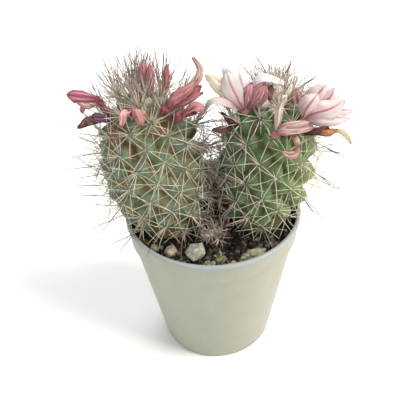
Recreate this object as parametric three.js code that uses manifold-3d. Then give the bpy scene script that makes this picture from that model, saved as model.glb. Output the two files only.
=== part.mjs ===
// A clump of two flowering fraileana cactus stems with a small offset, in a round nursery pot.
// Millimetres, +Z up. The origin is the middle of the pot's foot, and the front is towards -Y.

import * as THREE from 'three';
import Module from 'manifold-3d';
import { ConvexHull } from 'three/addons/math/ConvexHull.js';
import { mergeVertices } from 'three/addons/utils/BufferGeometryUtils.js';

const wasm = await Module();
wasm.setup();

// Pot
const potHeight = 59.3;
const rimRadius = 32.5;
const lipHeight = 1.8;
const collarDrop = 9.4;
const collarStep = 0.85;
const footRadius = 21.2;
const wallThickness = 1;
const floorTop = 2.4;
const potSides = 32;
const drainCount = 4;
const drainRadius = 2.2;
const drainCircle = 15.9;
const notchTurn = 0.7;
const notchSize = [6.4, 9, 1.6];

// Soil and what lies on it
const soilTop = 55;
const soilBump = 0.55;
const soilSides = 24;
const soilRings = 4;
const sunkShare = 0.3;

// Space kept between two pieces that touch
const gap = 0.32;

// Stems: place of the foot, lean of the top, and an upright barrel outline through the spine cushions
const stems = {
  left: {
    x: -16, y: 0.5, lean: -5.5, radius: 19, widest: 20, height: 53.5, root: 6,
    crownPower: 2.2, lowest: 3.4, cell: 67, youngCell: 10, turn: 0.35, seed: 16,
    radialLength: 8.8, centralLength: 13, crownRadial: 1.15, crownCentral: 1.45,
  },
  right: {
    x: 16.8, y: 0.5, lean: 4.2, radius: 17.3, widest: 21, height: 54, root: 6,
    crownPower: 2.2, lowest: 3.4, cell: 74, youngCell: 10, turn: 2.1, seed: 23,
    radialLength: 8.8, centralLength: 12.6, crownRadial: 0.85, crownCentral: 0.92,
  },
  offset: {
    x: -0.4, y: -13.6, lean: 0.3, radius: 3.3, widest: 2.4, height: 5.6, root: 2.2,
    crownPower: 2, lowest: 1.6, cell: 11, youngCell: 6, turn: 1, seed: 37,
    radialLength: 4.6, centralLength: 5.2, crownRadial: 0.75, crownCentral: 1.2,
  },
};
const goldenAngle = Math.PI * (3 - Math.sqrt(5));
const hexSpacing = Math.sqrt(2 / Math.sqrt(3));
const rootPower = 2;
const profileSteps = 240;
const youngAreoles = 13;
const crownShare = 0.3;
const stemMiddle = 0.9;

// Plain corners of a stem's smooth foot: share of the root's depth, and how many
const footRings = [[0.17, 11], [0.8, 6], [1, 1]];

// One tubercle, as shares of the distance to its neighbours
const cushionShare = 0.1;
const centreShare = 0.32;
const shoulderShare = 0.29;
const shoulderDepth = 0.11;
const saddleDepth = 0.2;
const valleyDepth = 0.36;
const upwardTilt = 0.16;
const plainTubercles = 9;

// Spines: how many, how steeply they stand out of the cushion, and what they keep clear by
const radialCount = 7;
const centreCorners = 3;
const lowSpineTilt = 0.3;
const crownSpineTilt = 0.95;
const centralSpineTilt = 1.15;
const spineClearance = 0.6;
const sisterClearance = 0.36;
const sharedShare = 0.15;
const edgeClearance = 0.6;
const middleClearance = 0.25;
const spineChecks = 6;

// Petals: thickness, the width at shares of the length, and how far spines stay from them
const bladeThickness = 0.8;
const bladeCup = 0.1;
const bladeRings = [[0, 0.3], [0.28, 0.84], [0.58, 1], [0.82, 0.66]];
const bloomClearance = 0.75;
const stalkGuards = 5;

const up = new THREE.Vector3(0, 0, 1);
const point = (x, y, z) => new THREE.Vector3(x, y, z);

// A repeatable random number between 0 and 1
function randomFrom(seed) {
  let state = seed;
  return () => {
    state = (state * 1664525 + 1013904223) % 4294967296;
    return state / 4294967296;
  };
}

const finish = (color, roughness) => new THREE.MeshStandardMaterial({ color, roughness, metalness: 0 });
const finishes = {
  pot: finish(0xa9ad9c, 0.55),
  soil: finish(0x2b221c, 0.95),
  paleStone: finish(0x9a9d84, 0.85),
  tanStone: finish(0xa8926f, 0.85),
  darkStone: finish(0x5d5a4b, 0.9),
  bark: finish(0x5a3a24, 0.9),
  stem: finish(0x4c6b48, 0.6),
  offsetStem: finish(0x6b6a4c, 0.7),
  openPetal: finish(0xf0d9dc, 0.6),
  pinkPetal: finish(0xd98e98, 0.65),
  redPetal: finish(0xa8475c, 0.7),
  driedPetal: finish(0xb98f74, 0.8),
  brownHusk: finish(0x5a3530, 0.9),
  bud: finish(0xb4606a, 0.7),
  stamen: finish(0xe3c98c, 0.7),
};

// Geometry with shared corners only, as a boolean solid
function solidOf(geometry) {
  const bare = geometry.clone();
  bare.deleteAttribute('normal');
  bare.deleteAttribute('uv');
  const merged = mergeVertices(bare, 1e-4);
  const corners = new Float32Array(merged.attributes.position.array);
  const faces = new Uint32Array(merged.index.array);
  return solidFromArrays(corners, faces);
}

function solidFromArrays(corners, faces) {
  const mesh = new wasm.Mesh({ numProp: 3, vertProperties: corners, triVerts: faces });
  return new wasm.Manifold(mesh);
}

function geometryOf(solid) {
  const mesh = solid.getMesh();
  const geometry = new THREE.BufferGeometry();
  geometry.setAttribute('position', new THREE.BufferAttribute(new Float32Array(mesh.vertProperties), 3));
  geometry.setIndex(new THREE.BufferAttribute(new Uint32Array(mesh.triVerts), 1));
  return geometry;
}

// The largest body of a solid, so that no loose scrap is left
function largestBody(solid) {
  const bodies = solid.decompose();
  bodies.sort((a, b) => b.volume() - a.volume());
  return bodies[0];
}

function join(solids) {
  return solids.reduce((whole, next) => whole.add(next));
}

// Collects corners and triangles of one closed body
class Body {
  constructor() {
    this.corners = [];
    this.faces = [];
  }

  corner(place) {
    this.corners.push(place.x, place.y, place.z);
    return this.corners.length / 3 - 1;
  }

  face(a, b, c) {
    this.faces.push(a, b, c);
  }

  solid() {
    return solidFromArrays(new Float32Array(this.corners), new Uint32Array(this.faces));
  }
}

// Pot: a closed turned wall with a stepped collar and a lip, cut by drain holes and foot notches
const collarFoot = potHeight - collarDrop;
const collarRadius = rimRadius - 0.7;
const collarFootRadius = collarRadius - 0.55;
const wallTopRadius = collarFootRadius - collarStep;
const lipInnerRadius = rimRadius - 1.6;

// Inner radius of the pot's wall at a height
function innerRadius(z) {
  const outerAtFoot = footRadius + 0.2;
  const share = z / collarFoot;
  return outerAtFoot + (wallTopRadius - outerAtFoot) * Math.min(share, 1) - wallThickness;
}

function potSolid() {
  const wall = [
    [0, 0],
    [drainCircle - 2.4, 0],
    [drainCircle - 1.8, 1.1],
    [drainCircle + 1.8, 1.1],
    [drainCircle + 2.4, 0],
    [footRadius - 1.3, 0],
    [footRadius - 0.3, 0.35],
    [footRadius + 0.2, 1.4],
    [wallTopRadius, collarFoot - 0.4],
    [collarFootRadius, collarFoot + 0.3],
    [collarRadius, potHeight - lipHeight - 0.4],
    [rimRadius - 0.1, potHeight - lipHeight],
    [rimRadius, potHeight - 0.5],
    [rimRadius - 0.4, potHeight],
    [lipInnerRadius + 0.35, potHeight],
    [lipInnerRadius, potHeight - 0.45],
    [collarFootRadius - wallThickness, collarFoot - 0.5],
    [innerRadius(floorTop + 1), floorTop + 1],
    [innerRadius(floorTop) - 1, floorTop],
    [0, floorTop],
  ];
  const profile = wall.map(([r, z]) => new THREE.Vector2(r, z));
  let pot = solidOf(new THREE.LatheGeometry(profile, potSides).rotateX(Math.PI / 2));
  const hole = new THREE.CylinderGeometry(drainRadius, drainRadius, floorTop * 3, 10).rotateX(Math.PI / 2);
  const notch = new THREE.BoxGeometry(...notchSize);
  for (let i = 0; i < drainCount; i++) {
    const share = 2 * Math.PI / drainCount;
    const drain = hole.clone().translate(drainCircle, 0, 0).rotateZ((i + 0.5) * share);
    const run = notch.clone().translate(footRadius, 0, 0).rotateZ((i + notchTurn) * share);
    pot = pot.subtract(solidOf(drain)).subtract(solidOf(run));
  }
  return pot;
}

// Outline of a stem from the crown down: height, radius and the surface area above
function outlineOf(stem) {
  const rows = [];
  for (let step = 0; step <= profileSteps; step++) {
    const turn = Math.PI * step / profileSteps;
    const upper = step * 2 <= profileSteps;
    const power = 2 / (upper ? stem.crownPower : rootPower);
    const reach = upper ? stem.height - stem.widest : -(stem.widest + stem.root);
    const h = stem.widest + reach * Math.abs(Math.cos(turn)) ** power;
    const r = stem.radius * Math.abs(Math.sin(turn)) ** power;
    rows.push({ h, r, area: 0 });
  }
  for (let i = 1; i < rows.length; i++) {
    const slant = Math.hypot(rows[i].h - rows[i - 1].h, rows[i].r - rows[i - 1].r);
    rows[i].area = rows[i - 1].area + Math.PI * (rows[i].r + rows[i - 1].r) * slant;
  }
  return rows;
}

// A place on the outline with the given area above it, turned to an angle
function placeAt(rows, area, angle) {
  let i = 1;
  while (i < rows.length - 1 && rows[i].area < area) i++;
  const a = rows[i - 1];
  const b = rows[i];
  const share = THREE.MathUtils.clamp((area - a.area) / (b.area - a.area), 0, 1);
  const r = a.r + (b.r - a.r) * share;
  const h = a.h + (b.h - a.h) * share;
  const facing = point(a.h - b.h, 0, b.r - a.r).normalize().applyAxisAngle(up, angle);
  return { at: point(r * Math.cos(angle), r * Math.sin(angle), h), facing, angle };
}

// The upright barrel is shifted sideways with height, which gives the stem its lean
function lean(stem, place) {
  const share = THREE.MathUtils.clamp(place.z / stem.height, 0, 1);
  const shift = stem.lean * share * (2 - share);
  return point(stem.x + shift + place.x, stem.y + place.y, soilTop + place.z);
}

// A tubercle here would press into the pot's lip
function meetsLip(stem, site) {
  const place = lean(stem, site.at);
  const reach = shoulderShare * site.size;
  const wide = Math.hypot(place.x, place.y) > lipInnerRadius - 1.2;
  return wide && place.z - reach < potHeight + 0.9;
}

// Spine cushions in a golden-angle spiral from the crown down, each on its own share of the surface
function sitesOf(stem) {
  const rows = outlineOf(stem);
  const sites = [];
  let area = 0;
  for (let i = 0; ; i++) {
    const cell = stem.cell - (stem.cell - stem.youngCell) * Math.exp(-i / youngAreoles);
    area += cell * (i === 0 ? crownShare : 1);
    const site = placeAt(rows, area, stem.turn + i * goldenAngle);
    if (site.at.z < stem.lowest) break;
    site.order = i;
    site.size = hexSpacing * Math.sqrt(cell);
    site.axis = site.facing.clone().addScaledVector(up, upwardTilt).normalize();
    site.right = new THREE.Vector3().crossVectors(up, site.axis);
    if (site.right.length() < 0.05) site.right.set(1, 0, 0);
    site.right.addScaledVector(site.axis, -site.right.dot(site.axis)).normalize();
    site.over = new THREE.Vector3().crossVectors(site.axis, site.right);
    if (!meetsLip(stem, site)) sites.push(site);
  }
  return sites.concat(plainSites(stem, rows));
}

// Plain corners of the smooth foot below the lowest tubercles
function plainSites(stem, rows) {
  const plain = [];
  for (const [share, count] of footRings) {
    const row = rows.find(({ h }, i) => i > profileSteps / 2 && h < -stem.root * share) ?? rows.at(-1);
    for (let i = 0; i < count; i++) {
      const angle = stem.turn + i * 2 * Math.PI / count;
      const at = point(row.r * Math.cos(angle), row.r * Math.sin(angle), row.h);
      plain.push({ at: count === 1 ? point(0, 0, row.h) : at, plain: true });
    }
  }
  return plain;
}

// Points of a small circle round a tubercle's axis
function ringRound(stem, site, radius, depth, count, phase = 0) {
  const ring = [];
  for (let i = 0; i < count; i++) {
    const angle = phase + i * 2 * Math.PI / count;
    const place = site.at.clone()
      .addScaledVector(site.right, radius * Math.cos(angle))
      .addScaledVector(site.over, radius * Math.sin(angle))
      .addScaledVector(site.axis, -depth);
    ring.push({ place: lean(stem, place), angle });
  }
  return ring;
}

// Triangles between two loops that run the same way round, the outer one first
function zip(outer, inner) {
  const fullTurn = 2 * Math.PI;
  const angleOf = (loop, i) => loop[i % loop.length].angle + fullTurn * Math.floor(i / loop.length);
  let start = 0;
  const away = (i) => Math.abs(Math.sin((inner[i].angle - outer[0].angle) / 2));
  inner.forEach((_, i) => {
    if (away(i) < away(start)) start = i;
  });
  const turned = inner.map((_, i) => inner[(i + start) % inner.length]);
  const base = turned[0].angle;
  const offset = Math.round((outer[0].angle - base) / fullTurn) * fullTurn;
  const ordered = turned.map((corner) => {
    const angle = base + offset + ((corner.angle - base) % fullTurn + fullTurn) % fullTurn;
    return { ...corner, angle };
  });
  const strips = [];
  let i = 0;
  let j = 0;
  while (i < outer.length || j < ordered.length) {
    const nextOuter = angleOf(outer, i) + angleOf(outer, i + 1);
    const nextInner = angleOf(ordered, j) + angleOf(ordered, j + 1);
    const onOuter = j >= ordered.length || (i < outer.length && nextOuter <= nextInner);
    const a = outer[i % outer.length];
    const c = ordered[j % ordered.length];
    if (onOuter) {
      strips.push({ corners: [a, outer[(i + 1) % outer.length], c], wide: true });
      i++;
    } else {
      strips.push({ corners: [a, ordered[(j + 1) % ordered.length], c], wide: false });
      j++;
    }
  }
  return strips;
}

// The spine cushion on a tubercle: a ring of footings for radial spines and a middle one for the central
function cushionOf(stem, site, grow = 0) {
  const radius = cushionShare * site.size;
  const ring = ringRound(stem, site, radius + grow * 0.5, 0.25 * radius, radialCount, site.order);
  const centre = ringRound(stem, site, centreShare * radius, -0.1 * radius, centreCorners, site.order);
  const footings = zip(ring, centre).map((strip) => ({ ...strip, radial: strip.wide }));
  footings.push({ corners: centre, radial: false, central: true });
  return { ring, footings };
}

// A stem's skin: each hull triangle between cushions sinks to a valley, each edge to a saddle
function skinOf(stem, sites, grow, cushions) {
  const body = new Body();
  const hull = new ConvexHull().setFromPoints(sites.map((site) => site.at));
  const siteOf = new Map(sites.map((site, i) => [site.at, i]));
  const loops = sites.map(() => new Map());
  const plainCorner = new Map();
  const saddles = new Map();
  const outward = (place) => point(place.x, place.y, 0.35 * (place.z - stem.widest)).normalize();
  const sunk = (places, depth) => {
    const middle = new THREE.Vector3();
    places.forEach((place) => middle.addScaledVector(place, 1 / places.length));
    return middle.addScaledVector(outward(middle), grow - depth);
  };
  const sizeOf = (list) => {
    const grown = list.filter((i) => !sites[i].plain);
    return grown.reduce((sum, i) => sum + sites[i].size, 0) / grown.length;
  };
  const cornerOf = (i) => {
    if (!plainCorner.has(i)) {
      const place = sites[i].at.clone().addScaledVector(outward(sites[i].at), grow);
      plainCorner.set(i, body.corner(lean(stem, place)));
    }
    return plainCorner.get(i);
  };
  const saddleOf = (a, b) => {
    const key = a < b ? `${a} ${b}` : `${b} ${a}`;
    if (!saddles.has(key)) {
      const place = sunk([sites[a].at, sites[b].at], saddleDepth * sizeOf([a, b]));
      saddles.set(key, { index: body.corner(lean(stem, place)), place });
    }
    return saddles.get(key);
  };
  for (const face of hull.faces) {
    const ids = [0, 1, 2].map((i) => siteOf.get(face.getEdge(i).head().point));
    if (ids.every((i) => sites[i].plain)) {
      body.face(...ids.map(cornerOf));
      continue;
    }
    const place = sunk(ids.map((i) => sites[i].at), valleyDepth * sizeOf(ids));
    const valley = { index: body.corner(lean(stem, place)), place };
    ids.forEach((a, k) => {
      const b = ids[(k + 1) % 3];
      if (sites[a].plain && sites[b].plain) {
        body.face(cornerOf(a), cornerOf(b), valley.index);
        return;
      }
      const saddle = saddleOf(a, b);
      for (const end of [a, b]) {
        if (sites[end].plain) {
          const edge = end === a ? [cornerOf(a), saddle.index] : [saddle.index, cornerOf(b)];
          body.face(...edge, valley.index);
        } else {
          loops[end].set(saddle.index, saddle);
          loops[end].set(valley.index, valley);
        }
      }
    });
  }
  sites.forEach((site, i) => {
    if (!site.plain) tubercle(body, stem, site, [...loops[i].values()], grow, cushions[i]);
  });
  return body;
}

// One tubercle from its base loop over a rounded shoulder up to the cushion, with its spines
function tubercle(body, stem, site, loop, grow, cushion) {
  const base = loop.map(({ index, place }) => {
    const away = place.clone().sub(site.at);
    return { index, angle: Math.atan2(away.dot(site.over), away.dot(site.right)) };
  });
  base.sort((a, b) => a.angle - b.angle);
  const index = ({ place, angle }) => ({ index: body.corner(place), angle });
  const radius = shoulderShare * site.size + grow;
  const shoulder = ringRound(stem, site, radius, shoulderDepth * site.size - grow, radialCount, site.order);
  const shoulderLoop = site.order < plainTubercles ? [] : shoulder.map(index);
  const ringLoop = cushion.ring.map(index);
  const indexOf = new Map(cushion.ring.map((corner, k) => [corner.place, ringLoop[k].index]));
  const known = (corner) => {
    if (!indexOf.has(corner.place)) indexOf.set(corner.place, body.corner(corner.place));
    return indexOf.get(corner.place);
  };
  const slopes = site.order < plainTubercles ? zip(base, ringLoop)
    : zip(base, shoulderLoop).concat(zip(shoulderLoop, ringLoop));
  for (const strip of slopes) {
    body.face(...strip.corners.map((corner) => corner.index));
  }
  for (const footing of cushion.footings) {
    const [a, b, c] = footing.corners.map(known);
    if (!footing.tip) {
      body.face(a, b, c);
      continue;
    }
    const tip = body.corner(footing.tip);
    body.face(a, b, tip);
    body.face(b, c, tip);
    body.face(c, a, tip);
  }
}

// Shortest distance between two straight segments
function segmentDistance(a, b, c, d) {
  const u = b.clone().sub(a);
  const v = d.clone().sub(c);
  const w = a.clone().sub(c);
  const uu = u.dot(u);
  const uv = u.dot(v);
  const vv = v.dot(v);
  const uw = u.dot(w);
  const vw = v.dot(w);
  const bottom = uu * vv - uv * uv;
  const clamp = (value) => THREE.MathUtils.clamp(value, 0, 1);
  let s = bottom < 1e-9 ? 0 : clamp((uv * vw - vv * uw) / bottom);
  const t = clamp((uv * s + vw) / vv);
  s = clamp((uv * t - uw) / uu);
  return a.clone().addScaledVector(u, s).distanceTo(c.clone().addScaledVector(v, t));
}

function pointToSegment(place, a, b) {
  const along = new THREE.Line3(a, b).closestPointToPoint(place, true, new THREE.Vector3());
  return along.distanceTo(place);
}

// What the spines keep clear of: other spines, other tubercles, stones, petals, soil, lip and next stem
const placedSpines = [];
const guards = [];

function isClear(from, to, owner, side) {
  for (let i = 1; i <= spineChecks; i++) {
    const place = from.clone().lerp(to, i / spineChecks);
    const overLip = Math.hypot(place.x, place.y) > lipInnerRadius - edgeClearance;
    const lowest = overLip ? potHeight : soilTop + soilBump;
    if (place.z < lowest + edgeClearance) return false;
    if (side !== 0 && side * (place.x - stemMiddle) < middleClearance) return false;
  }
  const meets = (guard) => guard.owner !== owner && pointToSegment(guard.at, from, to) < guard.reach;
  if (guards.some(meets)) return false;
  const crosses = (spine) => {
    if (spine.from.distanceTo(from) > 30) return false;
    if (spine.owner !== owner) return segmentDistance(from, to, spine.from, spine.to) < spineClearance;
    const mine = from.clone().lerp(to, sharedShare);
    const other = spine.from.clone().lerp(spine.to, sharedShare);
    return segmentDistance(mine, to, other, spine.to) < sisterClearance;
  };
  return !placedSpines.some(crosses);
}

// A spine's direction is tried flat first, then steeper, turned aside and shorter, until it runs clear
function growSpine(footing, site, owner, side, length, tilt, random) {
  const from = new THREE.Vector3();
  footing.corners.forEach((corner) => from.addScaledVector(corner.place, 1 / 3));
  const [a, b] = footing.corners;
  const sway = (random() - 0.5) * 0.3;
  const reach = length * (0.86 + 0.26 * random());
  const middle = footing.central ? site.order * 2.4 : wideAngle(a.angle, b.angle);
  for (const shorter of [1, 0.8, 0.6, 0.42]) {
    for (const lift of [0, 0.14, 0.28, 0.45, 0.65, 0.9]) {
      for (const turn of [0, 0.16, -0.16, 0.32, -0.32]) {
        const rise = Math.min(tilt + lift, 1.5);
        const round = middle + sway + turn * (footing.central ? 6 : 1);
        const way = site.axis.clone().multiplyScalar(Math.sin(rise))
          .addScaledVector(site.right, Math.cos(rise) * Math.cos(round))
          .addScaledVector(site.over, Math.cos(rise) * Math.sin(round));
        const to = from.clone().addScaledVector(way, reach * shorter);
        if (isClear(from, to, owner, side)) {
          placedSpines.push({ from, to, owner });
          return to;
        }
      }
    }
  }
  return null;
}

function wideAngle(a, b) {
  return a + THREE.MathUtils.euclideanModulo(b - a, 2 * Math.PI) / 2;
}

function growSpines(stem, sites, cushions, name, side) {
  const random = randomFrom(stem.seed);
  sites.forEach((site, i) => {
    if (site.plain) return;
    const youth = Math.exp(-site.order / youngAreoles);
    const tilt = lowSpineTilt + (crownSpineTilt - lowSpineTilt) * youth;
    const owner = `${name} ${i}`;
    for (const footing of cushions[i].footings) {
      if (footing.central) {
        const steep = centralSpineTilt - 0.25 * random();
        const length = stem.centralLength * (1 + (stem.crownCentral - 1) * youth);
        footing.tip = growSpine(footing, site, owner, side, length, steep, random);
      } else if (footing.radial) {
        const length = stem.radialLength * (1 + (stem.crownRadial - 1) * youth);
        footing.tip = growSpine(footing, site, owner, side, length, tilt, random);
      }
    }
  });
}

// A stone or a flake: a faceted ball pushed about corner by corner, then stretched and turned
function lumpGeometry({ size, turn, seed, rough = 0.18 }, grow = 0) {
  const random = randomFrom(seed);
  const ball = new THREE.IcosahedronGeometry(1, 0);
  ball.deleteAttribute('normal');
  ball.deleteAttribute('uv');
  const lump = mergeVertices(ball, 1e-4);
  const places = lump.attributes.position;
  for (let i = 0; i < places.count; i++) {
    const push = 1 + rough * (2 * random() - 1);
    places.setXYZ(i, places.getX(i) * push, places.getY(i) * push, places.getZ(i) * push);
  }
  return lump
    .scale(size[0] + grow, size[1] + grow, size[2] + grow)
    .rotateX(0.5 * random() - 0.25)
    .rotateY(0.5 * random() - 0.25)
    .rotateZ(turn);
}

const stones = [
  { name: 'stone_large_angular', at: [-6.9, -21.6], size: [4.3, 3.6, 3.8], turn: 0.5, finish: 'paleStone' },
  { name: 'stone_tan', at: [-15.6, -20.2], size: [3, 2.5, 2.7], turn: 1.1, finish: 'tanStone' },
  { name: 'stone_long', at: [12.9, -23.4], size: [5.7, 2.3, 2.3], turn: 0.38, finish: 'paleStone' },
  { name: 'stone_front', at: [1.9, -25], size: [2.6, 2.1, 1.8], turn: 0.2, finish: 'darkStone' },
  { name: 'stone_left_edge', at: [-21.3, -17.9], size: [2.3, 1.9, 1.8], turn: 2.1, finish: 'paleStone' },
  { name: 'stone_small_front', at: [-2.9, -27.1], size: [1.9, 1.5, 1.5], turn: 0.9, finish: 'paleStone' },
  { name: 'stone_small_left', at: [-12.1, -25.6], size: [2, 1.6, 1.5], turn: 2.7, finish: 'darkStone' },
  { name: 'stone_small_right', at: [6.5, -27.2], size: [1.9, 1.5, 1.4], turn: 1.7, finish: 'tanStone' },
  { name: 'stone_right_edge', at: [22.1, -18.2], size: [2.1, 1.7, 1.5], turn: 0.8, finish: 'darkStone' },
  { name: 'stone_back', at: [2.5, 22.5], size: [3.6, 2.9, 2.9], turn: 1.4, finish: 'paleStone' },
  { name: 'stone_back_left', at: [-9.6, 24.4], size: [2.5, 2, 1.9], turn: 0.3, finish: 'tanStone' },
  { name: 'stone_back_right', at: [13.2, 22.3], size: [2.3, 2, 1.7], turn: 2.4, finish: 'paleStone' },
  { name: 'bark_flake_left', at: [-24.3, -13.9], size: [2.6, 1.3, 0.9], turn: -0.9, finish: 'bark' },
  { name: 'bark_flake_right', at: [26.4, -12.3], size: [2.4, 1.2, 0.8], turn: 0.9, finish: 'bark' },
  { name: 'bark_flake_back', at: [-18.3, 19.4], size: [3, 1.5, 1], turn: 0.6, finish: 'bark' },
];
const restHeight = (stone) => soilTop + stone.size[2] * (1 - 2 * sunkShare);

function placeStone(stone, index, grow) {
  const lump = lumpGeometry({ ...stone, seed: 101 + index * 7 }, grow);
  return lump.translate(...stone.at, restHeight(stone));
}

// Soil: fills the pot to just under the lip, with a crumbly top, plain holes for the stems and seats
function soilSolid(seats) {
  const random = randomFrom(5);
  const body = new Body();
  const rows = [];
  const levels = [
    [floorTop + gap, innerRadius(floorTop) - 1 - gap],
    [floorTop + 1 + gap, innerRadius(floorTop + 1) - gap],
    [collarFoot - 1, innerRadius(collarFoot - 1) - gap],
    [soilTop - 0.4, lipInnerRadius - 0.75 - gap],
  ];
  const rowAt = (r, z, rough) => {
    const row = [];
    for (let i = 0; i < soilSides; i++) {
      const angle = i * 2 * Math.PI / soilSides;
      const bump = rough * (2 * random() - 1);
      row.push(body.corner(point(r * Math.cos(angle), r * Math.sin(angle), z + bump)));
    }
    rows.push(row);
  };
  for (const [z, r] of levels) rowAt(r, z, 0);
  const edge = levels.at(-1)[1];
  for (let k = 0; k < soilRings; k++) {
    rowAt(edge * (1 - (k + 0.35) / (soilRings + 0.35)), soilTop, soilBump);
  }
  const bottom = body.corner(point(0, 0, levels[0][0]));
  const top = body.corner(point(0, 0, soilTop));
  for (let i = 0; i < soilSides; i++) {
    const next = (i + 1) % soilSides;
    body.face(bottom, rows[0][next], rows[0][i]);
    body.face(top, rows.at(-1)[i], rows.at(-1)[next]);
    for (let k = 0; k + 1 < rows.length; k++) {
      body.face(rows[k][i], rows[k][next], rows[k + 1][next]);
      body.face(rows[k][i], rows[k + 1][next], rows[k + 1][i]);
    }
  }
  return largestBody(seats.reduce((soil, seat) => soil.subtract(seat), body.solid()));
}

// The plain bowl-shaped hole that a stem's foot stands in
function stemHole(stem) {
  const sides = stem.radius > 5 ? 13 : 8;
  const top = 3;
  const rows = outlineOf(stem).filter(({ h }, i) => i > profileSteps / 2 && h < 1);
  const widened = (r) => r / Math.cos(Math.PI / sides) + 2 * gap;
  const picked = rows.filter((_, i) => i % 20 === 0).map(({ h, r }) => [widened(r), h]);
  const floor = -stem.root - gap;
  const profile = [[0, top], [picked[0][0], top], ...picked, [picked.at(-1)[0] * 0.8, floor], [0, floor]];
  const geometry = new THREE.LatheGeometry(profile.map(([r, z]) => new THREE.Vector2(r, z)).reverse(), sides);
  return solidOf(geometry.rotateX(Math.PI / 2).translate(stem.x, stem.y, soilTop));
}

// A petal or strap: a closed lens-shaped blade along a smooth path, narrow at its foot and pointed
function blade(path, width, across) {
  const curve = new THREE.CatmullRomCurve3(path, false, 'centripetal');
  const body = new Body();
  const rows = bladeRings.map(([share, wide]) => {
    const middle = curve.getPoint(share);
    const ahead = curve.getTangent(share);
    const side = across.clone().addScaledVector(ahead, -across.dot(ahead)).normalize();
    const face = new THREE.Vector3().crossVectors(ahead, side);
    const half = width * wide / 2;
    const lift = width * wide * bladeCup;
    guards.push({ at: middle, reach: half + bloomClearance });
    return [
      middle.clone().addScaledVector(side, -half).addScaledVector(face, lift),
      middle.clone().addScaledVector(face, (bladeThickness - lift) / 2),
      middle.clone().addScaledVector(side, half).addScaledVector(face, lift),
      middle.clone().addScaledVector(face, (-bladeThickness - lift) / 2),
    ].map((place) => body.corner(place));
  });
  guards.push({ at: path.at(-1), reach: bloomClearance });
  const tip = body.corner(path.at(-1));
  const [foot] = rows;
  body.face(foot[0], foot[2], foot[1]);
  body.face(foot[0], foot[3], foot[2]);
  rows.forEach((row, k) => {
    for (let i = 0; i < 4; i++) {
      const next = (i + 1) % 4;
      if (k === rows.length - 1) {
        body.face(row[i], row[next], tip);
      } else {
        body.face(row[i], row[next], rows[k + 1][next]);
        body.face(row[i], rows[k + 1][next], rows[k + 1][i]);
      }
    }
  });
  return facingOut(body);
}

// The blade's solid, with its faces turned to point out
function facingOut(body) {
  const solid = body.solid();
  if (solid.volume() > 0) return solid;
  for (let i = 0; i < body.faces.length; i += 3) {
    [body.faces[i], body.faces[i + 1]] = [body.faces[i + 1], body.faces[i]];
  }
  return body.solid();
}

// A tapering stalk, tube or bud from one place to another, with its radius at each share of the way
function stalk(from, to, radii, sides = 7) {
  const length = from.distanceTo(to);
  const profile = [[0, 0], ...radii.map(([share, radius]) => [radius, share * length]), [0, length]];
  const geometry = new THREE.LatheGeometry(profile.map(([r, y]) => new THREE.Vector2(r, y)), sides);
  const turn = new THREE.Quaternion().setFromUnitVectors(point(0, 1, 0), to.clone().sub(from).normalize());
  geometry.applyQuaternion(turn).translate(from.x, from.y, from.z);
  const widest = Math.max(...radii.map(([, radius]) => radius));
  for (let k = 0; k <= stalkGuards; k++) {
    guards.push({ at: from.clone().lerp(to, k / stalkGuards), reach: widest + bloomClearance });
  }
  return solidOf(geometry);
}

// The way a flower faces, and the two ways across it
function frameOf(foot, throat) {
  const axis = throat.clone().sub(foot).normalize();
  const right = new THREE.Vector3().crossVectors(axis, up).normalize();
  const over = new THREE.Vector3().crossVectors(right, axis);
  return { axis, right, over };
}

// Stamens round a style, fused in one tuft that stands in the flower's throat
function stamenTuft({ foot, throat, length, spread, count }) {
  const { axis, right, over } = frameOf(foot, throat);
  const start = throat.clone().addScaledVector(axis, gap + 0.05);
  const styleEnd = start.clone().addScaledVector(axis, length * 1.25);
  const pieces = [stalk(start, styleEnd, [[0, 0.75], [0.18, 0.45], [0.9, 0.35], [0.97, 0.65]], 5)];
  for (let i = 0; i < count; i++) {
    const angle = i * goldenAngle;
    const open = spread * Math.sqrt((i + 0.5) / count);
    const way = axis.clone().multiplyScalar(Math.cos(open))
      .addScaledVector(right, Math.sin(open) * Math.cos(angle))
      .addScaledVector(over, Math.sin(open) * Math.sin(angle));
    const from = start.clone().addScaledVector(axis, 0.35);
    const end = from.clone().addScaledVector(way, length * (0.85 + 0.15 * Math.cos(i)));
    pieces.push(stalk(from, end, [[0, 0.3], [0.86, 0.2], [0.92, 0.45]], 3));
  }
  return join(pieces);
}

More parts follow.
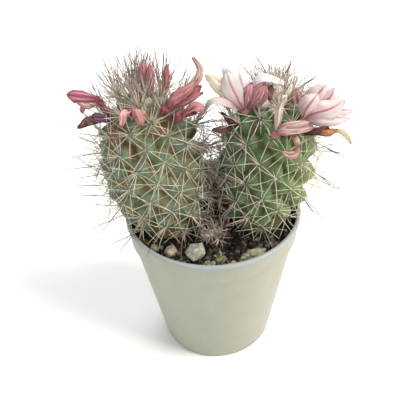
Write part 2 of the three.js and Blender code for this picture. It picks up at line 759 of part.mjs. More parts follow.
// The flowers: shrunken or open tubes, and petals or straps by the places that they pass
const flowers = [
  {
    name: 'flower_open_left', finish: 'openPetal',
    tubes: [{ from: [12.7, -3.4, 101.5], to: [9.6, -3, 105.6], radii: [[0, 1.4], [0.5, 1.9], [1, 2.3]] }],
    straps: [
      {
        path: [[11.3, -5, 103.5], [9, -7.3, 109.2], [6.8, -7.5, 114.3], [5.3, -6, 118.1]],
        width: 7, across: [0.9, 0.3, 0.4],
      },
      {
        path: [[10.4, -4.6, 104], [6, -7.4, 108.4], [2, -8, 109.6], [-0.9, -7.8, 107.6], [-1.8, -7.6, 104]],
        width: 5.6, across: [0.3, 0.9, -0.2],
      },
      {
        path: [[9.8, -2.6, 104.4], [5.6, 0.6, 108.4], [1.6, 2, 111.8], [-1, 2, 112.6]],
        width: 6, across: [0.6, 0.7, 0.3],
      },
      {
        path: [[10.4, -2.2, 104.4], [9.4, 0.2, 109], [7.5, 2.5, 112.9], [4.7, 4, 114.6]],
        width: 7, across: [0.9, 0.3, 0.3],
      },
      {
        path: [[11.2, -2.2, 104.3], [11.3, 0.4, 108.6], [10.5, 2.5, 111.7], [9.9, 4, 113.5]],
        width: 6.4, across: [1, 0.1, 0.1],
      },
      {
        path: [[12, -4, 103.4], [12.6, -5.6, 107.6], [13.3, -5.4, 110.7], [13.6, -4, 112.6]],
        width: 5.6, across: [1, -0.1, -0.1],
      },
      {
        path: [[12.4, -4, 103], [15.1, -6.4, 107.7], [16.8, -6.6, 111], [18.1, -5.6, 113.3]],
        width: 6, across: [0.8, -0.3, -0.4],
      },
      {
        path: [[11.9, -3, 104.3], [15.2, -1, 109.3], [18.7, -1, 113.2], [23.1, -2, 112.4], [26.4, -2.5, 109.7]],
        width: 4.6, across: [0, 1, 0.1],
      },
    ],
    stamens: { length: 7, spread: 0.36, count: 7 },
  },
  {
    name: 'flower_open_right', finish: 'openPetal',
    tubes: [{ from: [30.7, -7.1, 98.6], to: [32.4, -6.8, 102.8], radii: [[0, 1.3], [0.5, 1.8], [1, 2.1]] }],
    straps: [
      {
        path: [[30.6, -7.4, 101], [30.7, -9, 104.5], [32.7, -9.4, 108.3], [34.6, -8.2, 110.2]],
        width: 6.4, across: [0.9, -0.3, -0.4],
      },
      {
        path: [[31, -7.8, 101.2], [34.1, -10, 104.1], [38.4, -10.8, 105.9], [43.1, -9.8, 108.5]],
        width: 7.4, across: [0.4, -0.6, -0.7],
      },
      {
        path: [[31.6, -5.4, 101], [36.6, -3.8, 103.6], [39.6, -3.4, 106.2], [40.6, -2.6, 109]],
        width: 6.8, across: [0.7, -0.5, -0.6],
      },
      {
        path: [[31.4, -7.2, 100.8], [37, -8.8, 103], [42, -9, 104.3], [46.2, -8.4, 103.4]],
        width: 7, across: [0.1, -0.6, -0.8],
      },
      {
        path: [[31, -8, 100.8], [34.8, -10.4, 102.6], [39.8, -11.2, 102.8], [45.1, -10.6, 102.4]],
        width: 5, across: [0, -0.9, -0.5],
      },
      {
        path: [[31.2, -5.2, 101.4], [33.9, -3.6, 105.2], [36.5, -2.8, 107.9], [38.5, -2, 109.5]],
        width: 6.4, across: [0.7, -0.4, -0.5],
      },
    ],
    stamens: { length: 2.7, spread: 0.08, count: 3 },
  },
  {
    name: 'flower_faded_strap', finish: 'pinkPetal',
    tubes: [{ from: [20.2, -11, 96.2], to: [21.3, -14.2, 100.2], radii: [[0, 1], [0.5, 1.6], [0.9, 1.5]] }],
    straps: [
      {
        path: [[20.8, -13.4, 99.2], [22.8, -15.6, 101.7], [27.1, -16.2, 102.4], [32.9, -15.2, 102.1]],
        width: 3.6, across: [0.1, -0.8, -0.6],
      },
      {
        path: [[20.8, -13.4, 99.4], [23.4, -15.2, 102.2], [28, -15.8, 103.5], [32.5, -14.8, 103.7]],
        width: 3.2, across: [0.3, -0.3, -0.9],
      },
      {
        path: [[21, -13.4, 99.2], [21.4, -14.4, 104.3], [21.9, -13.6, 108.2], [23.7, -12, 111.5]],
        width: 2.7, across: [1, -0.2, -0.2],
      },
    ],
  },
  {
    name: 'flower_faded_hook', finish: 'driedPetal',
    straps: [
      {
        path: [[26.2, -10.6, 97], [27.4, -15.8, 98.6], [28.2, -17.8, 96.5]],
        width: 2, across: [-1, -0.2, -0.2],
      },
      {
        path: [[28.3, -17.4, 97], [27.4, -18.6, 94.4], [24.7, -18.8, 93.9], [22.2, -18.2, 95.3]],
        width: 2.8, across: [-0.2, 0.2, 1],
      },
    ],
  },
  {
    name: 'flower_dried_right', finish: 'brownHusk',
    straps: [
      {
        path: [[30.6, -9.4, 96.2], [34.4, -13.4, 99.3], [38.2, -13.9, 100.7]],
        width: 2.8, across: [0.4, -0.6, -0.7],
      },
      {
        path: [[33.2, -12, 98.4], [37.3, -14.2, 99.8], [40.6, -13.6, 100]],
        width: 3, across: [0.1, -0.8, -0.5],
      },
      {
        path: [[37.8, -13.6, 99.4], [41.9, -13.6, 99.2], [44.2, -13, 96.9], [46, -12, 93]],
        width: 2.4, across: [-0.4, -0.4, -0.8],
      },
    ],
  },
  {
    name: 'flower_withered_upright', finish: 'pinkPetal',
    tubes: [{ from: [-16.2, -4.6, 102.6], to: [-13.4, -8, 107.4], radii: [[0, 1], [0.5, 1.6], [0.9, 1.7]] }],
    straps: [
      {
        path: [[-14, -7.4, 106.2], [-11.3, -9, 110.4], [-7.1, -8.4, 113.2], [-3.2, -6, 115.7]],
        width: 4.2, across: [0.6, -0.5, -0.6],
      },
      {
        path: [[-9.6, -9.6, 110.8], [-5.6, -6.4, 113.2], [-3.2, -5.6, 115.6], [-2.4, -4.2, 118.2], [-4.4, -2.6, 121.8]],
        width: 2.6, across: [1, -0.1, -0.2],
      },
      {
        path: [[-13.2, -7.2, 106.6], [-8.6, -6.6, 109.2], [-5, -6, 111.3], [-2.3, -4.6, 112.8]],
        width: 4.6, across: [0.5, -0.5, -0.7],
      },
      {
        path: [[-13.2, -7.4, 106.4], [-9, -7.6, 108.4], [-5, -7.4, 110.4], [-1.8, -6.8, 111.4]],
        width: 2.6, across: [0.3, -0.7, -0.6],
      },
    ],
  },
  {
    name: 'flower_withered_red', finish: 'redPetal',
    tubes: [{ from: [-12.4, -5.2, 100.2], to: [-8.9, -9.4, 105.4], radii: [[0, 1], [0.5, 1.5], [0.9, 1.5]] }],
    straps: [
      {
        path: [[-9.6, -8.4, 104], [-7, -10.8, 107.6], [-4.4, -11.6, 109.8], [-2.1, -11.5, 108.8], [-2.2, -10.8, 105.6]],
        width: 3.8, across: [0.1, -1, -0.2],
      },
      {
        path: [[-9.8, -8.2, 103.8], [-6.1, -9.8, 106.4], [-3.6, -9.4, 106.2]],
        width: 3, across: [0.3, -0.6, -0.8],
      },
    ],
  },
  {
    name: 'flower_withered_bell', finish: 'pinkPetal',
    tubes: [{ from: [-24.4, -8.4, 104.2], to: [-24.9, -11, 108], radii: [[0, 1], [0.5, 1.5], [0.9, 1.5]] }],
    straps: [
      {
        path: [[-25, -10.4, 107.4], [-26.2, -13.2, 108.2], [-27.6, -15.4, 104.8]],
        width: 3.2, across: [1, -0.4, 0],
      },
      {
        path: [[-24.8, -10.4, 107.4], [-22.7, -13.4, 108.9], [-21.3, -16, 105]],
        width: 4.8, across: [-0.9, -0.1, -0.5],
      },
    ],
  },
  {
    name: 'flower_withered_side', finish: 'redPetal',
    tubes: [
      { from: [-33, -1.6, 101.4], to: [-36.9, -3.6, 109.4], radii: [[0, 1], [0.5, 1.2], [0.9, 1.3]] },
      {
        from: [-34.6, -3.6, 107.8], to: [-45.6, -4.6, 111.2],
        radii: [[0.1, 1], [0.45, 1.9], [0.75, 2.1], [0.92, 1.2]],
      },
    ],
    straps: [
      {
        path: [[-40, -4.6, 109.5], [-40.8, -5.6, 107], [-41.3, -6.2, 105]],
        width: 1.9, across: [-1, 0.2, 0.2],
      },
      {
        path: [[-35.7, -4, 108.4], [-38.8, -5.4, 107.9], [-42.6, -5.6, 108.7]],
        width: 3, across: [-0.1, 0.6, 0.8],
      },
    ],
  },
  {
    name: 'flower_dried_side', finish: 'brownHusk',
    tubes: [{ from: [-31.6, -4.2, 100.6], to: [-38, -8, 104.7], radii: [[0, 0.9], [0.5, 1.4], [0.9, 1.4]] }],
    straps: [
      {
        path: [[-34.6, -6.4, 102.4], [-39.2, -8.4, 103.6], [-43, -8.8, 101.2]],
        width: 3.4, across: [-0.3, 0.6, 0.8],
      },
    ],
  },
  {
    name: 'flower_dried_inner', finish: 'brownHusk',
    tubes: [{ from: [11.1, -2.6, 95.3], to: [7, -5, 98.7], radii: [[0, 0.9], [0.5, 1.4], [0.9, 1.3]] }],
    straps: [
      {
        path: [[8.6, -4.2, 97.6], [6.7, -5.4, 99.9], [4.1, -6, 102.7]],
        width: 2, across: [0.5, 0.5, 0.7],
      },
      {
        path: [[8.6, -4.2, 97], [5.3, -6.4, 97.3], [0.7, -7, 97.7]],
        width: 2.4, across: [-0.1, 0.6, 0.8],
      },
    ],
  },
];

const buds = [
  { name: 'bud_left_tall', from: [-21.6, 0, 107.4], to: [-20.5, 1, 119.8], wide: 1.3 },
  { name: 'bud_left_short', from: [-18.4, -2, 107], to: [-18.3, -0.2, 119], wide: 1.2 },
  { name: 'bud_left_side', from: [-14.8, 0.8, 105.6], to: [-12.8, 1, 117.6], wide: 1.2 },
  { name: 'bud_right_striped', from: [27.8, -3.8, 101.8], to: [28.6, -3, 109.4], wide: 1.8 },
  { name: 'bud_right_crown', from: [19.8, -3.4, 105.8], to: [20.3, -3, 111], wide: 1.2 },
];

// Every bloom, bud and dried remnant, with its name, finish and solid
function blooms() {
  const list = [];
  for (const { name, finish: finishName, tubes = [], straps, stamens } of flowers) {
    const pieces = tubes.map(({ from, to, radii }) => stalk(point(...from), point(...to), radii));
    for (const { path, width, across } of straps) {
      pieces.push(blade(path.map((place) => point(...place)), width, point(...across)));
    }
    list.push({ name, finish: finishName, solid: join(pieces) });
    if (stamens) {
      const tuft = { ...stamens, foot: point(...tubes[0].from), throat: point(...tubes[0].to) };
      list.push({ name: `${name}_stamens`, finish: 'stamen', solid: stamenTuft(tuft) });
    }
  }
  for (const { name, from, to, wide } of buds) {
    const radii = [[0, wide * 0.45], [0.3, wide * 0.7], [0.6, wide], [0.82, wide * 0.8]];
    list.push({ name, finish: 'bud', solid: stalk(point(...from), point(...to), radii, 6) });
  }
  return list;
}

// The whole plant in its pot, from the outside in
const bodySites = {};
const padded = [];
for (const [name, stem] of Object.entries(stems)) {
  bodySites[name] = sitesOf(stem);
  const wide = bodySites[name].map((site) => (site.plain ? null : cushionOf(stem, site, gap)));
  padded.push(skinOf(stem, bodySites[name], gap, wide).solid());
}

const part = new THREE.Group();
function addPiece(name, geometry, finishName) {
  const piece = new THREE.Mesh(geometry, finishes[finishName]);
  piece.name = name;
  part.add(piece);
}

addPiece('pot', geometryOf(potSolid()), 'pot');

const seats = Object.values(stems).map(stemHole);
stones.forEach((stone, i) => {
  seats.push(solidOf(placeStone(stone, i, gap)));
  guards.push({ at: point(...stone.at, restHeight(stone)), reach: Math.max(...stone.size) + 0.5 });
});
addPiece('soil', geometryOf(soilSolid(seats)), 'soil');
stones.forEach((stone, i) => addPiece(stone.name, placeStone(stone, i, 0), stone.finish));

for (const { name, finish: finishName, solid } of blooms()) {
  const clear = padded.reduce((rest, body) => rest.subtract(body), solid);
  addPiece(name, geometryOf(largestBody(clear)), finishName);
}

for (const [name, stem] of Object.entries(stems)) {
  bodySites[name].forEach((site, i) => {
    if (site.plain) return;
    const deep = 0.3 * site.size;
    const at = lean(stem, site.at.clone().addScaledVector(site.axis, -deep));
    guards.push({ at, reach: deep + 0.3, owner: `${name} ${i}` });
  });
}

// Each large stem keeps its spines on its own side of the plane between the two
const ownSide = { left: -1, right: 1, offset: 0 };
for (const [name, stem] of Object.entries(stems)) {
  const sites = bodySites[name];
  const cushions = sites.map((site) => (site.plain ? null : cushionOf(stem, site)));
  growSpines(stem, sites, cushions, name, ownSide[name]);
  const skin = skinOf(stem, sites, 0, cushions).solid();
  addPiece(`stem_${name}`, geometryOf(skin), name === 'offset' ? 'offsetStem' : 'stem');
}

export default part;
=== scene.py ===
import math
import random

import bmesh
import bpy
import numpy as np
from mathutils import Matrix, Vector, noise


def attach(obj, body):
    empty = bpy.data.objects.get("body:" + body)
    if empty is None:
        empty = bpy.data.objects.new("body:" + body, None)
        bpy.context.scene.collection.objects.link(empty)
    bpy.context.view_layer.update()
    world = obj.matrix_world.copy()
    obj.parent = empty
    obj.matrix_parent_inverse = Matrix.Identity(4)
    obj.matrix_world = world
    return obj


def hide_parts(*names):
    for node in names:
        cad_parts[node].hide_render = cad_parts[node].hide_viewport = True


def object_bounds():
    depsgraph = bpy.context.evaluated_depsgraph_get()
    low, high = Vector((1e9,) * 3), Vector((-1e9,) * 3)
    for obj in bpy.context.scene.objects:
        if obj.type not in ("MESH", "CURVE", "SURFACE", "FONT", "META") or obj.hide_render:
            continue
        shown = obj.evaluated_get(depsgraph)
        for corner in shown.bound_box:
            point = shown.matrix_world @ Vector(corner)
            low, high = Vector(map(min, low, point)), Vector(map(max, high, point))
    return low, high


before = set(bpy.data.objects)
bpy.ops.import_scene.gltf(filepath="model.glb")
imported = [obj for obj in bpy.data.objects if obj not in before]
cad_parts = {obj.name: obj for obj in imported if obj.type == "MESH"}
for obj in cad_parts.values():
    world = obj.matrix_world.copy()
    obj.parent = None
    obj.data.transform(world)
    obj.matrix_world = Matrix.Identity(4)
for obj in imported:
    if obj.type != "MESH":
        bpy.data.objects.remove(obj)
cadLow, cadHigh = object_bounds()
mm = 0.001
up = Vector((0, 0, 1))
fullTurn = 2 * math.pi
goldenAngle = math.pi * (3 - math.sqrt(5))
print("frame loaded with", len(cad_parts), "nodes")


# Shader maths: a socket that adds and multiplies like a number
class Wire:
    def __init__(self, paint, socket):
        self.paint = paint
        self.socket = socket

    def __add__(self, other):
        return self.paint.math("ADD", self, other)

    def __sub__(self, other):
        return self.paint.math("SUBTRACT", self, other)

    def __rsub__(self, other):
        return self.paint.math("SUBTRACT", other, self)

    def __mul__(self, other):
        return self.paint.math("MULTIPLY", self, other)

    __radd__ = __add__
    __rmul__ = __mul__


# One material under construction, with colours given as red, green and blue
class Paint:
    def __init__(self, name):
        self.material = bpy.data.materials.new(name)
        self.material.use_nodes = True
        self.tree = self.material.node_tree
        self.tree.nodes.clear()

    def node(self, kind, settings=None, sockets=None, out=0):
        made = self.tree.nodes.new("ShaderNode" + kind)
        for name, value in (settings or {}).items():
            if name == "stops":
                self.setStops(made.color_ramp, value)
            else:
                setattr(made, name, value)
        for key, value in (sockets or {}).items():
            socket = made.inputs[key]
            if isinstance(value, Wire):
                self.tree.links.new(value.socket, socket)
            else:
                socket.default_value = (*value, 1) if socket.type == "RGBA" else value
        return Wire(self, made.outputs[out]) if made.outputs else None

    def setStops(self, ramp, stops):
        while len(ramp.elements) < len(stops):
            ramp.elements.new(1.0)
        for element, (position, color) in zip(ramp.elements, stops):
            element.position = position
            element.color = (*color, 1)

    def math(self, operation, a, b=0.0):
        return self.node("Math", {"operation": operation}, {0: a, 1: b})

    def attribute(self, name):
        return self.node("Attribute", {"attribute_name": name}, out="Fac")

    def spot(self):
        return self.node("TexCoord", out="Object")

    def part(self, axis):
        return self.node("SeparateXYZ", {}, {0: self.spot()}, out=axis)

    def grain(self, size, detail=3.0, rough=0.5, stretch=(1, 1, 1)):
        spot = self.node("Mapping", {}, {"Vector": self.spot(), "Scale": stretch})
        sockets = {"Vector": spot, "Scale": 1 / size, "Detail": detail, "Roughness": rough}
        return self.node("TexNoise", {}, sockets)

    def within(self, value, low, high):
        sockets = {"Value": value, "From Min": low, "From Max": high}
        return self.node("MapRange", {"interpolation_type": "SMOOTHSTEP"}, sockets)

    def mix(self, share, a, b):
        return self.node("Mix", {"data_type": "RGBA"}, {0: share, 6: a, 7: b}, out=2)

    def ramp(self, share, *colors):
        stops = [(i / (len(colors) - 1), color) for i, color in enumerate(colors)]
        return self.node("ValToRGB", {"stops": stops}, {0: share})

    def bump(self, height, depth):
        return self.node("Bump", {}, {"Height": height, "Distance": depth})

    def finish(self, **sockets):
        names = {name.replace("_", " "): value for name, value in sockets.items()}
        skin = self.node("BsdfPrincipled", {}, names)
        self.node("OutputMaterial", {}, {"Surface": skin})
        return self.material


def meshOf(bm, name):
    mesh = bpy.data.meshes.new(name)
    bm.to_mesh(mesh)
    bm.free()
    return mesh


def placed(name, data):
    made = bpy.data.objects.new(name, data)
    bpy.context.scene.collection.objects.link(made)
    return made


def addCopy(bm, template, matrix):
    copy = template.copy()
    copy.transform(matrix)
    bm.from_mesh(copy)
    bpy.data.meshes.remove(copy)


# A finished mesh as a piece of the plant; marks are values per corner for its material
def newPiece(name, bm, material, replaced=(), unit=mm, marks=None):
    if unit != 1:
        bmesh.ops.scale(bm, vec=(unit,) * 3, verts=bm.verts)
    mesh = meshOf(bm, name)
    mesh.shade_smooth()
    mesh.materials.append(material)
    for mark, values in (marks or {}).items():
        layer = mesh.attributes.new(mark, "FLOAT", "POINT")
        layer.data.foreach_set("value", np.asarray(values, np.float32))
    piece = placed(name, mesh)
    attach(piece, "root")
    if replaced:
        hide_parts(*replaced)
    return piece


# A merged copy of a solid of the frame
def solidOf(node):
    bm = bmesh.new()
    bm.from_mesh(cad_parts[node].data)
    bmesh.ops.remove_doubles(bm, verts=bm.verts, dist=1e-6)
    return bm


# An outline of (radius, height) points turned round Z, with its corners rounded
def turned(profile, steps, rounding=0.0):
    bm = bmesh.new()
    corners = [bm.verts.new((r, 0, z)) for r, z in profile]
    for a, b in zip(corners, corners[1:]):
        bm.edges.new((a, b))
    if rounding:
        bmesh.ops.bevel(bm, geom=corners[1:-1], affect="VERTICES", offset=rounding, offset_type="OFFSET",
                        segments=3, profile=0.5, material=-1, clamp_overlap=True)
    bmesh.ops.spin(bm, geom=bm.verts[:] + bm.edges[:], cent=(0, 0, 0), axis=up, angle=fullTurn,
                   steps=steps, use_merge=True)
    bmesh.ops.remove_doubles(bm, verts=bm.verts, dist=1e-3)
    bmesh.ops.recalc_face_normals(bm, faces=bm.faces)
    return bm


def wearEdges(bm, size):
    bmesh.ops.bevel(bm, geom=bm.edges[:], affect="EDGES", offset=size, offset_type="OFFSET",
                    segments=2, profile=0.5, material=-1, clamp_overlap=True)


def smoothed(bm):
    bmesh.ops.smooth_vert(bm, verts=bm.verts, factor=0.5, use_axis_x=True, use_axis_y=True, use_axis_z=True)


# A thin five-sided cone along +Z, one long and cut across at some shares so that it can bend
def threadOf(radius, tipRadius, cuts):
    bm = bmesh.new()
    bmesh.ops.create_cone(bm, cap_ends=True, segments=5, radius1=radius, radius2=tipRadius, depth=1)
    bmesh.ops.translate(bm, vec=(0, 0, 0.5), verts=bm.verts)
    for share in cuts:
        everything = bm.verts[:] + bm.edges[:] + bm.faces[:]
        bmesh.ops.bisect_plane(bm, geom=everything, plane_co=(0, 0, share), plane_no=up)
    return bm


# The matrix that stands a shape made along +Z at a foot, pointing at a tip
def standing(foot, tip, roll=0.0, size=1.0):
    turn = (tip - foot).to_track_quat("Z", "X").to_matrix().to_4x4()
    return Matrix.Translation(foot) @ turn @ Matrix.Rotation(roll, 4, "Z") @ Matrix.Scale(size, 4)


def stretched(x, y, z):
    return Matrix.Diagonal((x, y, z, 1))


# Camera in millimetres, lights in metres
view = {
    "lens": 63, "sensor": 36, "aim": 59.3, "distance": 259.7, "elevation": 38.25, "roll": -2.17,
    "shiftX": -0.0324, "shiftY": 0.0187,
}
light = {
    "world": 0.5, "floor": 0.92, "aim": (0, 0, 0.08),
    "key": {"place": (0.75, -0.3, 0.95), "size": 0.6, "power": 19, "color": (1.0, 0.98, 0.93)},
    "fill": {"place": (-0.7, -0.75, 0.75), "size": 0.9, "power": 4, "color": (0.97, 0.99, 1.0)},
    "back": {"place": (0.2, 0.9, 0.8), "size": 0.9, "power": 9, "color": (1.0, 1.0, 1.0)},
}


def makeCamera():
    data = bpy.data.cameras.new("camera")
    data.lens = view["lens"]
    data.sensor_width = view["sensor"]
    data.shift_x = view["shiftX"]
    data.shift_y = view["shiftY"]
    data.clip_start = 0.01
    data.clip_end = 20
    camera = placed("camera", data)
    rise = math.radians(view["elevation"])
    back = Vector((0, -math.cos(rise), math.sin(rise)))
    place = Vector((0, 0, view["aim"])) * mm + back * view["distance"] * mm
    facing = (-back).to_track_quat("-Z", "Y").to_matrix().to_4x4()
    roll = Matrix.Rotation(math.radians(view["roll"]), 4, "Z")
    camera.matrix_world = Matrix.Translation(place) @ facing @ roll
    bpy.context.scene.camera = camera


def makeLight(name):
    spec = light[name]
    data = bpy.data.lights.new(name, "AREA")
    data.size = spec["size"]
    data.energy = spec["power"]
    data.color = spec["color"]
    place = Vector(spec["place"])
    aim = (Vector(light["aim"]) - place).to_track_quat("-Z", "Y")
    placed(name, data).matrix_world = Matrix.Translation(place) @ aim.to_matrix().to_4x4()


def makeStage():
    paint = Paint("pale_floor")
    level = light["floor"]
    tone = paint.mix(paint.grain(0.3, 2.0), (level,) * 3, (level * 0.985, level * 0.985, level * 0.98))
    bm = bmesh.new()
    bmesh.ops.create_grid(bm, x_segments=4, y_segments=4, size=6)
    floor = placed("floor", meshOf(bm, "floor"))
    floor.data.materials.append(paint.finish(Base_Color=tone, Roughness=0.85))
    world = bpy.data.worlds.new("studio")
    world.use_nodes = True
    backdrop = world.node_tree.nodes["Background"]
    backdrop.inputs["Color"].default_value = (1, 1, 1, 1)
    backdrop.inputs["Strength"].default_value = light["world"]
    scene = bpy.context.scene
    scene.world = world
    scene.view_settings.view_transform = "Standard"
    scene.view_settings.look = "None"


makeCamera()
for lampName in ("key", "fill", "back"):
    makeLight(lampName)
makeStage()
print("camera, lights and floor made")


# Pot: one turned moulding with a stepped collar, a lip, drain holes in a groove and foot notches
pot = {
    "height": 59.3, "rim": 32.5, "lip": 1.8, "lipInner": 30.9, "collarInset": 0.7, "collarTaper": 0.55,
    "collarDrop": 9.4, "collarStep": 0.85, "foot": 21.2, "footFlare": 0.2, "wall": 1.0, "floorTop": 2.4,
    "drains": 4, "drainRadius": 2.2, "drainCircle": 15.9, "grooveMouth": 2.4, "grooveBed": 1.8,
    "grooveDepth": 1.1, "notchTurn": 0.7, "notch": (6.4, 9, 1.6), "notchEdge": 0.3,
    "steps": 144, "rounding": 0.22, "sharpFrom": 40,
}
collarHigh = pot["rim"] - pot["collarInset"]
collarLow = collarHigh - pot["collarTaper"]
wallTop = collarLow - pot["collarStep"]


def innerRadius(z):
    atFoot = pot["foot"] + pot["footFlare"]
    share = min(z / (pot["height"] - pot["collarDrop"]), 1)
    return atFoot + (wallTop - atFoot) * share - pot["wall"]


def potPlastic():
    paint = Paint("pot_plastic")
    height = paint.part("Z")
    lip = paint.within(height, (pot["height"] - pot["lip"] - 0.7) * mm, (pot["height"] - pot["lip"]) * mm)
    cloud = paint.grain(9 * mm, 4.0, 0.6)
    streak = paint.grain(2.2 * mm, 5.0, 0.65, (1, 1, 0.22))
    body = paint.mix(cloud, (0.30, 0.30, 0.235), (0.36, 0.36, 0.285))
    dusted = paint.mix(paint.within(streak, 0.55, 0.75) * 0.3, body, (0.42, 0.41, 0.35))
    edge = paint.mix(cloud, (0.27, 0.29, 0.28), (0.34, 0.36, 0.345))
    # Painted shade under the lip: dark specks in the band from 52 to 58 mm high
    underLipShade = paint.within(paint.grain(0.5 * mm, 2.0), 0.66, 0.74) * paint.within(height, 0.052, 0.058)
    color = paint.mix(underLipShade * 0.45, paint.mix(lip, dusted, edge), (0.13, 0.11, 0.08))
    rough = 0.42 + 0.22 * streak
    fine = paint.bump(paint.grain(0.35 * mm, 3.0) + 0.6 * streak, 0.05 * mm)
    return paint.finish(Base_Color=color, Roughness=rough, Normal=fine, Specular_IOR_Level=0.42)


def potMesh():
    top = pot["height"]
    lipFoot = top - pot["lip"]
    collarFoot = top - pot["collarDrop"]
    foot, circle, mouth, bed = pot["foot"], pot["drainCircle"], pot["grooveMouth"], pot["grooveBed"]
    deep, floorTop = pot["grooveDepth"], pot["floorTop"]
    outside = [
        (0, 0), (circle - mouth, 0), (circle - bed, deep), (circle + bed, deep), (circle + mouth, 0),
        (foot - 1.3, 0), (foot - 0.3, 0.35), (foot + pot["footFlare"], 1.4), (wallTop, collarFoot - 0.4),
        (collarLow, collarFoot + 0.3), (collarHigh, lipFoot - 0.4), (pot["rim"] - 0.1, lipFoot),
        (pot["rim"], top - 0.5), (pot["rim"] - 0.4, top),
    ]
    inside = [
        (pot["lipInner"] + 0.35, top), (pot["lipInner"], top - 0.45),
        (collarLow - pot["wall"], collarFoot - 0.5), (innerRadius(floorTop + 1), floorTop + 1),
        (innerRadius(floorTop) - 1, floorTop), (0, floorTop),
    ]
    return turned(outside + inside, pot["steps"], pot["rounding"])


# Cuts the shell with a shape that stands at a place on a circle round its axis, then drops the shape
def cutShell(shell, bm, circle, turn):
    around = Matrix.Rotation(turn, 4, "Z") @ Matrix.Translation((circle, 0, 0))
    bmesh.ops.transform(bm, matrix=around, verts=bm.verts)
    bmesh.ops.scale(bm, vec=(mm,) * 3, verts=bm.verts)
    cut = placed("cut", meshOf(bm, "cut"))
    step = shell.modifiers.new("cut", "BOOLEAN")
    step.operation = "DIFFERENCE"
    step.object = cut
    return cut


def makePot():
    shell = newPiece("round_pot", potMesh(), potPlastic(), ["pot"])
    cuts = []
    for i in range(pot["drains"]):
        share = fullTurn / pot["drains"]
        drain = bmesh.new()
        bmesh.ops.create_cone(drain, cap_ends=True, segments=40, radius1=pot["drainRadius"],
                              radius2=pot["drainRadius"], depth=pot["floorTop"] * 3)
        cuts.append(cutShell(shell, drain, pot["drainCircle"], (i + 0.5) * share))
        notch = bmesh.new()
        bmesh.ops.create_cube(notch, size=1)
        bmesh.ops.scale(notch, vec=pot["notch"], verts=notch.verts)
        wearEdges(notch, pot["notchEdge"])
        cuts.append(cutShell(shell, notch, pot["foot"], (i + pot["notchTurn"]) * share))
    ready = shell.evaluated_get(bpy.context.evaluated_depsgraph_get())
    mesh = bpy.data.meshes.new_from_object(ready)
    shell.modifiers.clear()
    shell.data = mesh
    mesh.set_sharp_from_angle(angle=math.radians(pot["sharpFrom"]))
    for cut in cuts:
        bpy.data.objects.remove(cut)


makePot()
print("pot made")


# Soil: the solid carries the dark mix, and crumbs and small gravel lie on it
soil = {
    "top": 55, "seed": 4, "crumbs": 1150, "gravel": 90, "rimGap": 1.3, "underStem": 0.8, "rough": (0.78, 1.22),
    "gravelBand": (0.7, 0.97), "gravelSize": (0.65, 1.3), "crumbSize": (0.35, 1.0), "largest": 1.25,
    "smallness": 1.6, "lie": 0.25, "heave": 0.45, "heavesPerMm": 0.35, "scatter": (-0.1, 0.25),
    "long": (0.8, 1.5), "flat": (0.5, 1.0), "darkest": 0.72, "darkness": 1.7, "paleShare": 0.05,
    "paleTones": (0.66, 0.97),
}


def soilMix():
    paint = Paint("soil_mix")
    coarse = paint.grain(2.4 * mm, 5.0, 0.7)
    fine = paint.grain(0.5 * mm, 4.0, 0.7)
    color = paint.ramp(coarse * 0.7 + fine * 0.3, (0.004, 0.003, 0.002), (0.012, 0.008, 0.006),
                       (0.035, 0.022, 0.014), (0.075, 0.05, 0.032))
    relief = paint.bump(coarse + 0.5 * fine, 0.9 * mm)
    return paint.finish(Base_Color=color, Roughness=0.92, Normal=relief, Specular_IOR_Level=0.2)


def crumbMix():
    paint = Paint("soil_crumbs")
    tone = paint.attribute("tone")
    fine = paint.grain(0.4 * mm, 4.0, 0.7)
    color = paint.ramp(tone, (0.009, 0.0075, 0.0065), (0.019, 0.015, 0.013), (0.038, 0.03, 0.023),
                       (0.065, 0.05, 0.036), (0.11, 0.11, 0.085), (0.25, 0.245, 0.20))
    speckled = paint.mix(paint.within(fine, 0.55, 0.7) * 0.5, color, (0.005, 0.004, 0.003))
    return paint.finish(Base_Color=speckled, Roughness=0.9, Normal=paint.bump(fine, 0.25 * mm),
                        Specular_IOR_Level=0.22)


def makeSoil():
    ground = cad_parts["soil"]
    ground.data.materials.clear()
    ground.data.materials.append(soilMix())
    rng = random.Random(soil["seed"])
    ball = bmesh.new()
    bmesh.ops.create_icosphere(ball, subdivisions=1, radius=1)
    for vert in ball.verts:
        vert.co *= rng.uniform(*soil["rough"])
    lump = meshOf(ball, "lump")
    crumbs = bmesh.new()
    tones = []
    count = 0
    while count < soil["crumbs"] + soil["gravel"]:
        gravel = count >= soil["crumbs"]
        share = rng.uniform(*soil["gravelBand"]) if gravel else math.sqrt(rng.random())
        r = (pot["lipInner"] - soil["rimGap"]) * share
        angle = rng.uniform(0, fullTurn)
        place = Vector((r * math.cos(angle), r * math.sin(angle), 0))
        if any(math.hypot(place.x - stem["x"], place.y - stem["y"]) < stem["radius"] * soil["underStem"]
               for stem in stems.values()):
            continue
        size = rng.uniform(*soil["gravelSize" if gravel else "crumbSize"])
        if not gravel:
            size = size ** soil["smallness"] * soil["largest"]
        heave = soil["heave"] * noise.noise(place * soil["heavesPerMm"])
        place.z = soil["top"] + soil["lie"] + heave + rng.uniform(*soil["scatter"]) * size
        turn = Matrix.Rotation(rng.uniform(0, 6.28), 4,
                               Vector((rng.random(), rng.random(), rng.random() + 0.1)))
        flat = stretched(size * rng.uniform(*soil["long"]), size, size * rng.uniform(*soil["flat"]))
        addCopy(crumbs, lump, Matrix.Translation(place) @ turn @ flat)
        tone = rng.random() ** soil["darkness"] * soil["darkest"]
        if gravel or rng.random() < soil["paleShare"]:
            tone = rng.uniform(*soil["paleTones"])
        tones += [tone] * len(lump.vertices)
        count += 1
    newPiece("soil_crumbs", crumbs, crumbMix(), marks={"tone": tones})


